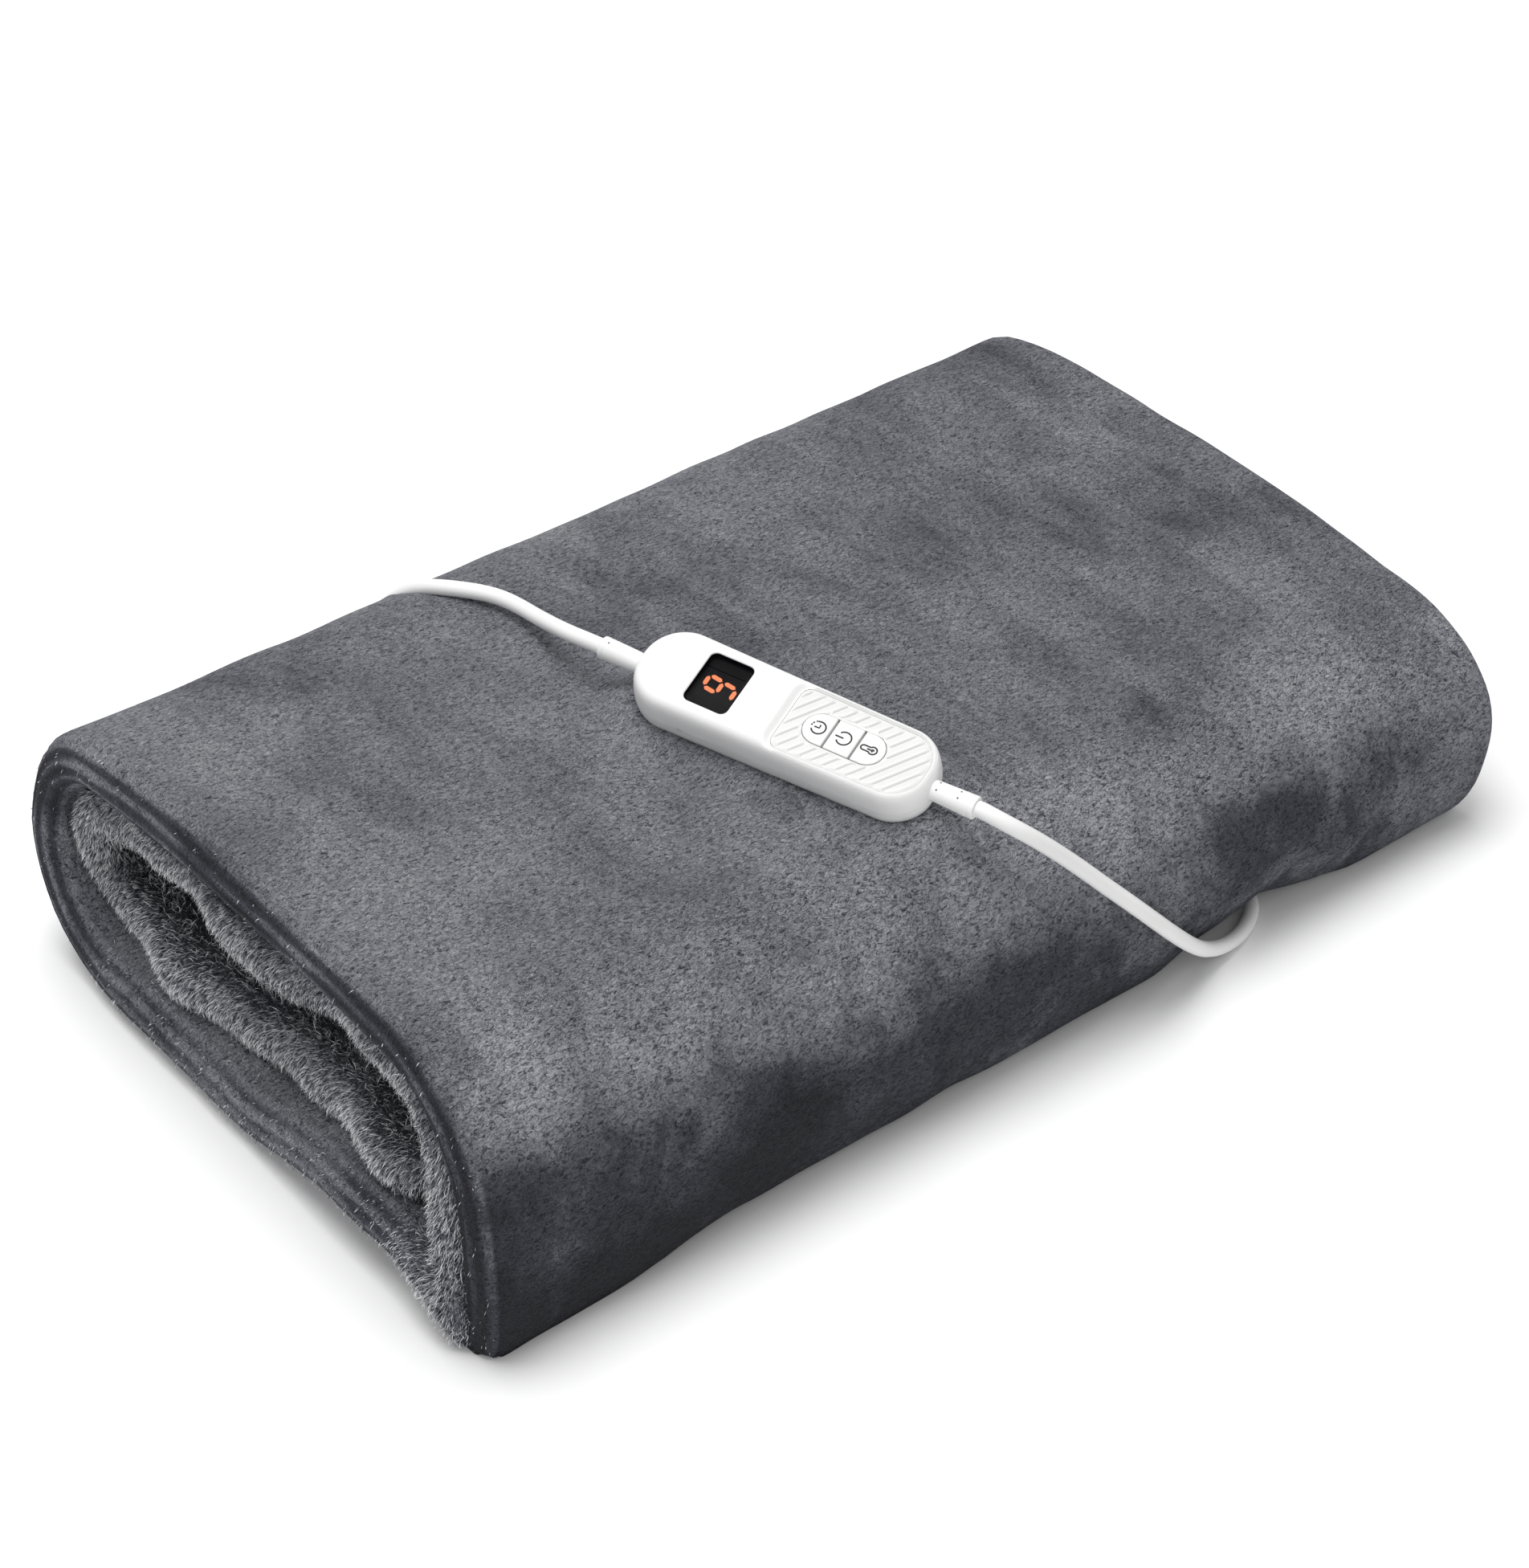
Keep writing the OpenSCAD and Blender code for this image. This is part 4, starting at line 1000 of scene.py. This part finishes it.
def make_key(name, begin, end, middle, body, node, icon):
    """A key's cap with its stem, and the icon printed on it."""
    cap = stacked([level(key_outline(begin, end, g), z) for g, z in KEY_LEVELS])
    stem = stacked([level(circle(KEYPAD_X + middle, 0, 2, 20), z) for z in (2.6, 3.2)])
    part(name, *joined([cap, stem]), "white_button", WHITE_KEY, [node], body)
    lines = [tube(level(np.asarray(line, float) + (KEYPAD_X + middle, 0), KEY_LEVELS[-2][1]), ICON_R)
             for line in icon]
    part(name + "_icon", *joined(lines), "black_component", PRINT, (), body)


def arc(cx, cy, r, begin, end, steps=28):
    a = np.radians(np.linspace(begin, end, steps))
    return [(cx + r * math.cos(t), cy + r * math.sin(t)) for t in a]


def dot(cx, cy, r=0.1):
    return arc(cx, cy, r, 0, 300, 6)


# The icons' own up is the controller's -X, and their right is +Y
ICON_R = 0.3
CLOCK = [arc(0, 0, 2.5, -150, 120, 26), [(-1.5, -0.1), (0.3, 0), (0.15, 1.2)],
         dot(-2.4, 1.2), dot(-2.7, 0.25), dot(-1.6, 2.1)]
POWER = [arc(0, 0, 2.6, -142, 142), [(-3.2, 0), (-0.2, 0)]]
THERMOMETER = [
    [*arc(1.3, 0, 1.5, -140, 140, 20), *arc(-2.2, 0, 0.95, 90, 270, 14),
     arc(1.3, 0, 1.5, -140, -139, 2)[0]],
    dot(1.3, 0, 0.42), [(-0.8, 0), (1.2, 0)],
]


BORE = 2.93
RELIEF_PROFILE = [(-6, 3.6), (-6, 4.4), (-3.6, 4.4), (-3.6, 3.6), (0, 3.65), (11, 4.0), (13.6, 4.06),
                  (13.9, 3.96), (14.2, 4.1), (15.4, 4.12), (15.8, 4.02), (16, 3.8), (16, BORE), (-6, BORE)]


def make_reliefs():
    """The tapered sleeves at the controller's two ends, with the mould's round marks."""
    profile = [(END + x, r) for x, r in RELIEF_PROFILE]
    for name, side, node, marks in (
        ("mains_boot", -1, "mains_relief", [(13, 0.1)]),
        ("throw_boot", 1, "blanket_relief", [(1.8, 1.6), (1.8, -1.6), (9.8, 1.4), (9.8, -1.4)]),
    ):
        points, faces = turned(profile)
        if side < 0:
            points, faces = points * (-1, 1, 1), [f[::-1] for f in faces]
        part(name, points, faces, "white_lead", LEAD_WHITE, [node])
        spots = []
        for x, y in marks:
            r = 3.65 + 0.35 * x / 11
            z = math.sqrt(r * r - y * y)
            at, out = np.array([side * (END + x), y, z]), unit(np.array([0, y, z]))
            spots.append(tube([at - 0.3 * out, at + 0.03 * out], 0.36, 14))
        part(name + "_marks", *joined(spots), "black_component", MARK)


PLUG_AT = np.array((112, 153, 7))
CONNECTOR_AT = np.array((148, -95.5, 5.9))


def boot(length, thin, wide, grooves):
    """A ribbed strain relief from x = -length to 0, as a closed profile of (x, r)."""
    profile = [(-length, BORE), (-length, thin - 0.5), (-length + 0.5, thin)]
    for k in range(grooves):
        x = -length + 2.4 + (length - 6) * k / grooves
        r = thin + (wide - thin) * (x + length) / length
        profile += [(x, r), (x + 0.25, r - 0.75), (x + 1.05, r - 0.75), (x + 1.3, r + 0.05)]
    return profile + [(-2.2, wide), (0, wide), (0, BORE)]


def squared(x, w, h, n=52, power=0.34):
    """A loop across X with flat sides and round corners."""
    a = np.arange(n) * 2 * math.pi / n
    c, s = np.cos(a), np.sin(a)
    return np.column_stack([np.full(n, float(x)), w * np.sign(c) * np.abs(c) ** power,
                            h * np.sign(s) * np.abs(s) ** power])


# The plug's sections from the cord to its face: x, half width and half height
PLUG_SECTIONS = [
    (0, 6.6, 4.6), (0.4, 8, 5.6), (1.6, 9.2, 6.3), (5, 11.2, 6.8), (9, 13.3, 6.9), (12, 14.6, 6.9),
    (15, 15.1, 6.5), (19, 15.1, 6.2), (23, 15.3, 6.3), (27, 16.2, 6.7), (30, 16.8, 6.9), (33.5, 16.9, 6.9),
    (33.8, 16.5, 6.5), (34.3, 16.5, 6.5), (34.6, 16.9, 6.9), (36, 16.9, 6.9), (36.7, 16.5, 6.5),
    (37, 15.8, 5.8),
]


def make_plug():
    """The plug's ribbed strain relief and its grip, on the CAD pins."""
    points, faces = turned(boot(24, 3.6, 5.4, 7)[::-1])
    part("plug_boot", points + PLUG_AT, faces, "white_lead", LEAD_WHITE, ["plug_relief"], local=False)
    body = stacked([squared(*section) for section in PLUG_SECTIONS])
    ribs = [tube([(x, -7.5, side * 6.15), (x, 7.5, side * 6.15)], 0.55, 8)
            for side in (-1, 1) for x in (16, 18.2, 20.4, 22.6)]
    points, faces = joined([body, *ribs])
    part("plug_grip", points + PLUG_AT, faces, "white_shell", WHITE, ["plug_body"], sharp=40, local=False)


def make_connector():
    """The ribbed strain relief of the connector under the roll."""
    points, faces = turned(boot(12, 3.4, 4.9, 3)[::-1])
    part("connector_boot", points + CONNECTOR_AT + (12, 0, 0), faces, "white_lead", LEAD_WHITE,
         ["connector_relief"], local=False)


def make_tie():
    """A soft strap round the middle of the hank, with its end folded over."""
    w, h = 4.5 * LEAD_D + 1.2, 1.5 * LEAD_D + 0.6
    section = [(-7, 0), (-7, 1.0), (-6.6, 1.3), (6.6, 1.3), (7, 1.0), (7, 0)]
    loops = [squared(x, w - 1.2 + out, h - 1.2 + out, 72, 0.3) for x, out in section]
    points, faces = stacked(loops, ring=True)
    x, y = HANK_MIDDLE
    points = points + (x, y, h)
    points[:, 2] = np.maximum(points[:, 2], 0.05)
    flap = stacked([level(rounded(x, (13.4, 22, 1.5), out) + (0, y - 9), 2 * h + z)
                    for out, z in ((0, -0.2), (0.1, 0.3), (0, 0.8), (-0.3, 1.0))])
    part("strap_tie", *joined([(points, faces), flap]), "tie_plastic", LOOKS["tie_plastic"],
         ["hank_tie"], local=False)


LIT = Nodes("lit_segment").finish(
    (0.9, 0.25, 0.1, 1), None, 0.5, Emission_Color=(1, 0.27, 0.12, 1), Emission_Strength=3)


def make_window():
    """The dark window, and the mask round the digit under it."""
    lens = [(0.75, 6.2), (0.75, 6.85), (-0.06, 6.95), (-0.06, 8.3), (-0.12, 8.46), (-0.26, 8.56),
            (-0.5, 8.6)]
    points, faces = stacked([level(rounded(WINDOW_X, WINDOW, out), z) for out, z in lens])
    part("window_lens", points, faces, "dark_window", LENS, ["display_window"])
    bars = []
    for y in (-9.2, 9.2):
        block = np.array([(-9.2, -3), (9.2, -3), (9.2, 3), (-9.2, 3)]) + (0, y)
        bars.append(stacked([level(block + (WINDOW_X, 0), z) for z in (6.0, 6.15)]))
    part("window_mask", *joined(bars), "black_component", MASK)


pile = make_pile(cloth)
paint(pile, strand_material())
wire = part("sewn_wire", *make_wire(cloth), "wire_insulation", RED, ["heating_wire"], sharp=80, local=False)
make_upper_shell()
make_lower_shell()
make_panel()
SPLIT, MIDDLE = KEYPAD[0] / 6, KEYPAD[0] / 3 - 0.6
make_key("timer_cap", -30, -SPLIT, -MIDDLE, "timer_key", "timer_button", CLOCK)
make_key("power_cap", -SPLIT, SPLIT, 0, "power_key", "power_button", POWER)
make_key("heat_cap", SPLIT, 30, MIDDLE, "heat_key", "heat_button", THERMOMETER)
make_reliefs()
make_window()
for cord in (mains_cord, throw_cord):
    paint(cord, LEAD_WHITE)

# The CAD nodes that stay: the look of each material slot
LOOKS = {"white_lead": LEAD_WHITE, "white_shell": WHITE, "lit_segment": LIT}
for name, *look in (
    ("black_component", (0.02, 0.02, 0.022, 1), 0.5, 0.4, 0.2),
    ("board_green", (0.01, 0.12, 0.05, 1), 0.4, 0.4, 0.35, 700),
    ("fuse_glass", (0.6, 0.62, 0.6, 1), 0.12, 0.1),
    ("capacitor_yellow", (0.55, 0.3, 0.03, 1), 0.4, 0.3, 0.1),
    ("pin_sleeve", (0.7, 0.7, 0.68, 1), 0.4),
    ("tie_plastic", (0.03, 0.03, 0.032, 1), 0.55, 0.5, 0.2, 600),
):
    LOOKS[name] = plastic_material(name, *look)
LOOKS["screw_steel"] = metal_material("screw_steel", (0.55, 0.55, 0.57, 1))
LOOKS["contact_metal"] = metal_material("contact_metal", (0.72, 0.66, 0.5, 1), 0.25)
for entry in frame["record"]["subparts"]:
    if entry["material_slot"] in LOOKS:
        paint(frame["nodes"][entry["node"]], LOOKS[entry["material_slot"]])


make_plug()
make_connector()
make_tie()


# -------- floor and light
def make_stage():
    half = 1300
    corners = [(-half, -half, 0), (half, -half, 0), (half, half, 0), (-half, half, 0)]
    floor = mesh_object("floor", corners, [(0, 1, 2, 3)])
    floor.location.z = -0.2 * MM
    paint(floor, Nodes("floor").finish((0.97, 0.97, 0.97, 1), None, 0.9, Specular_IOR_Level=0.1))
    world = bpy.data.worlds.new("studio")
    world.use_nodes = True
    sky = world.node_tree.nodes["Background"].inputs
    sky["Color"].default_value = (1, 1, 1, 1)
    sky["Strength"].default_value = 0.46
    bpy.context.scene.world = world
    for name, at, size, energy in (
        ("key", (-0.2, 0.25, 2.4), 1.5, 50), ("fill", (-1.2, -0.9, 0.9), 1.6, 3.5),
    ):
        data = bpy.data.lights.new(name, "AREA")
        data.size, data.energy = size, energy
        light = link(bpy.data.objects.new(name, data))
        light.location = at
        way = Vector((0, 0, 0.05)) - light.location
        light.rotation_euler = way.to_track_quat("-Z", "Y").to_euler()
    bpy.context.scene.view_settings.view_transform = "Standard"


make_stage()
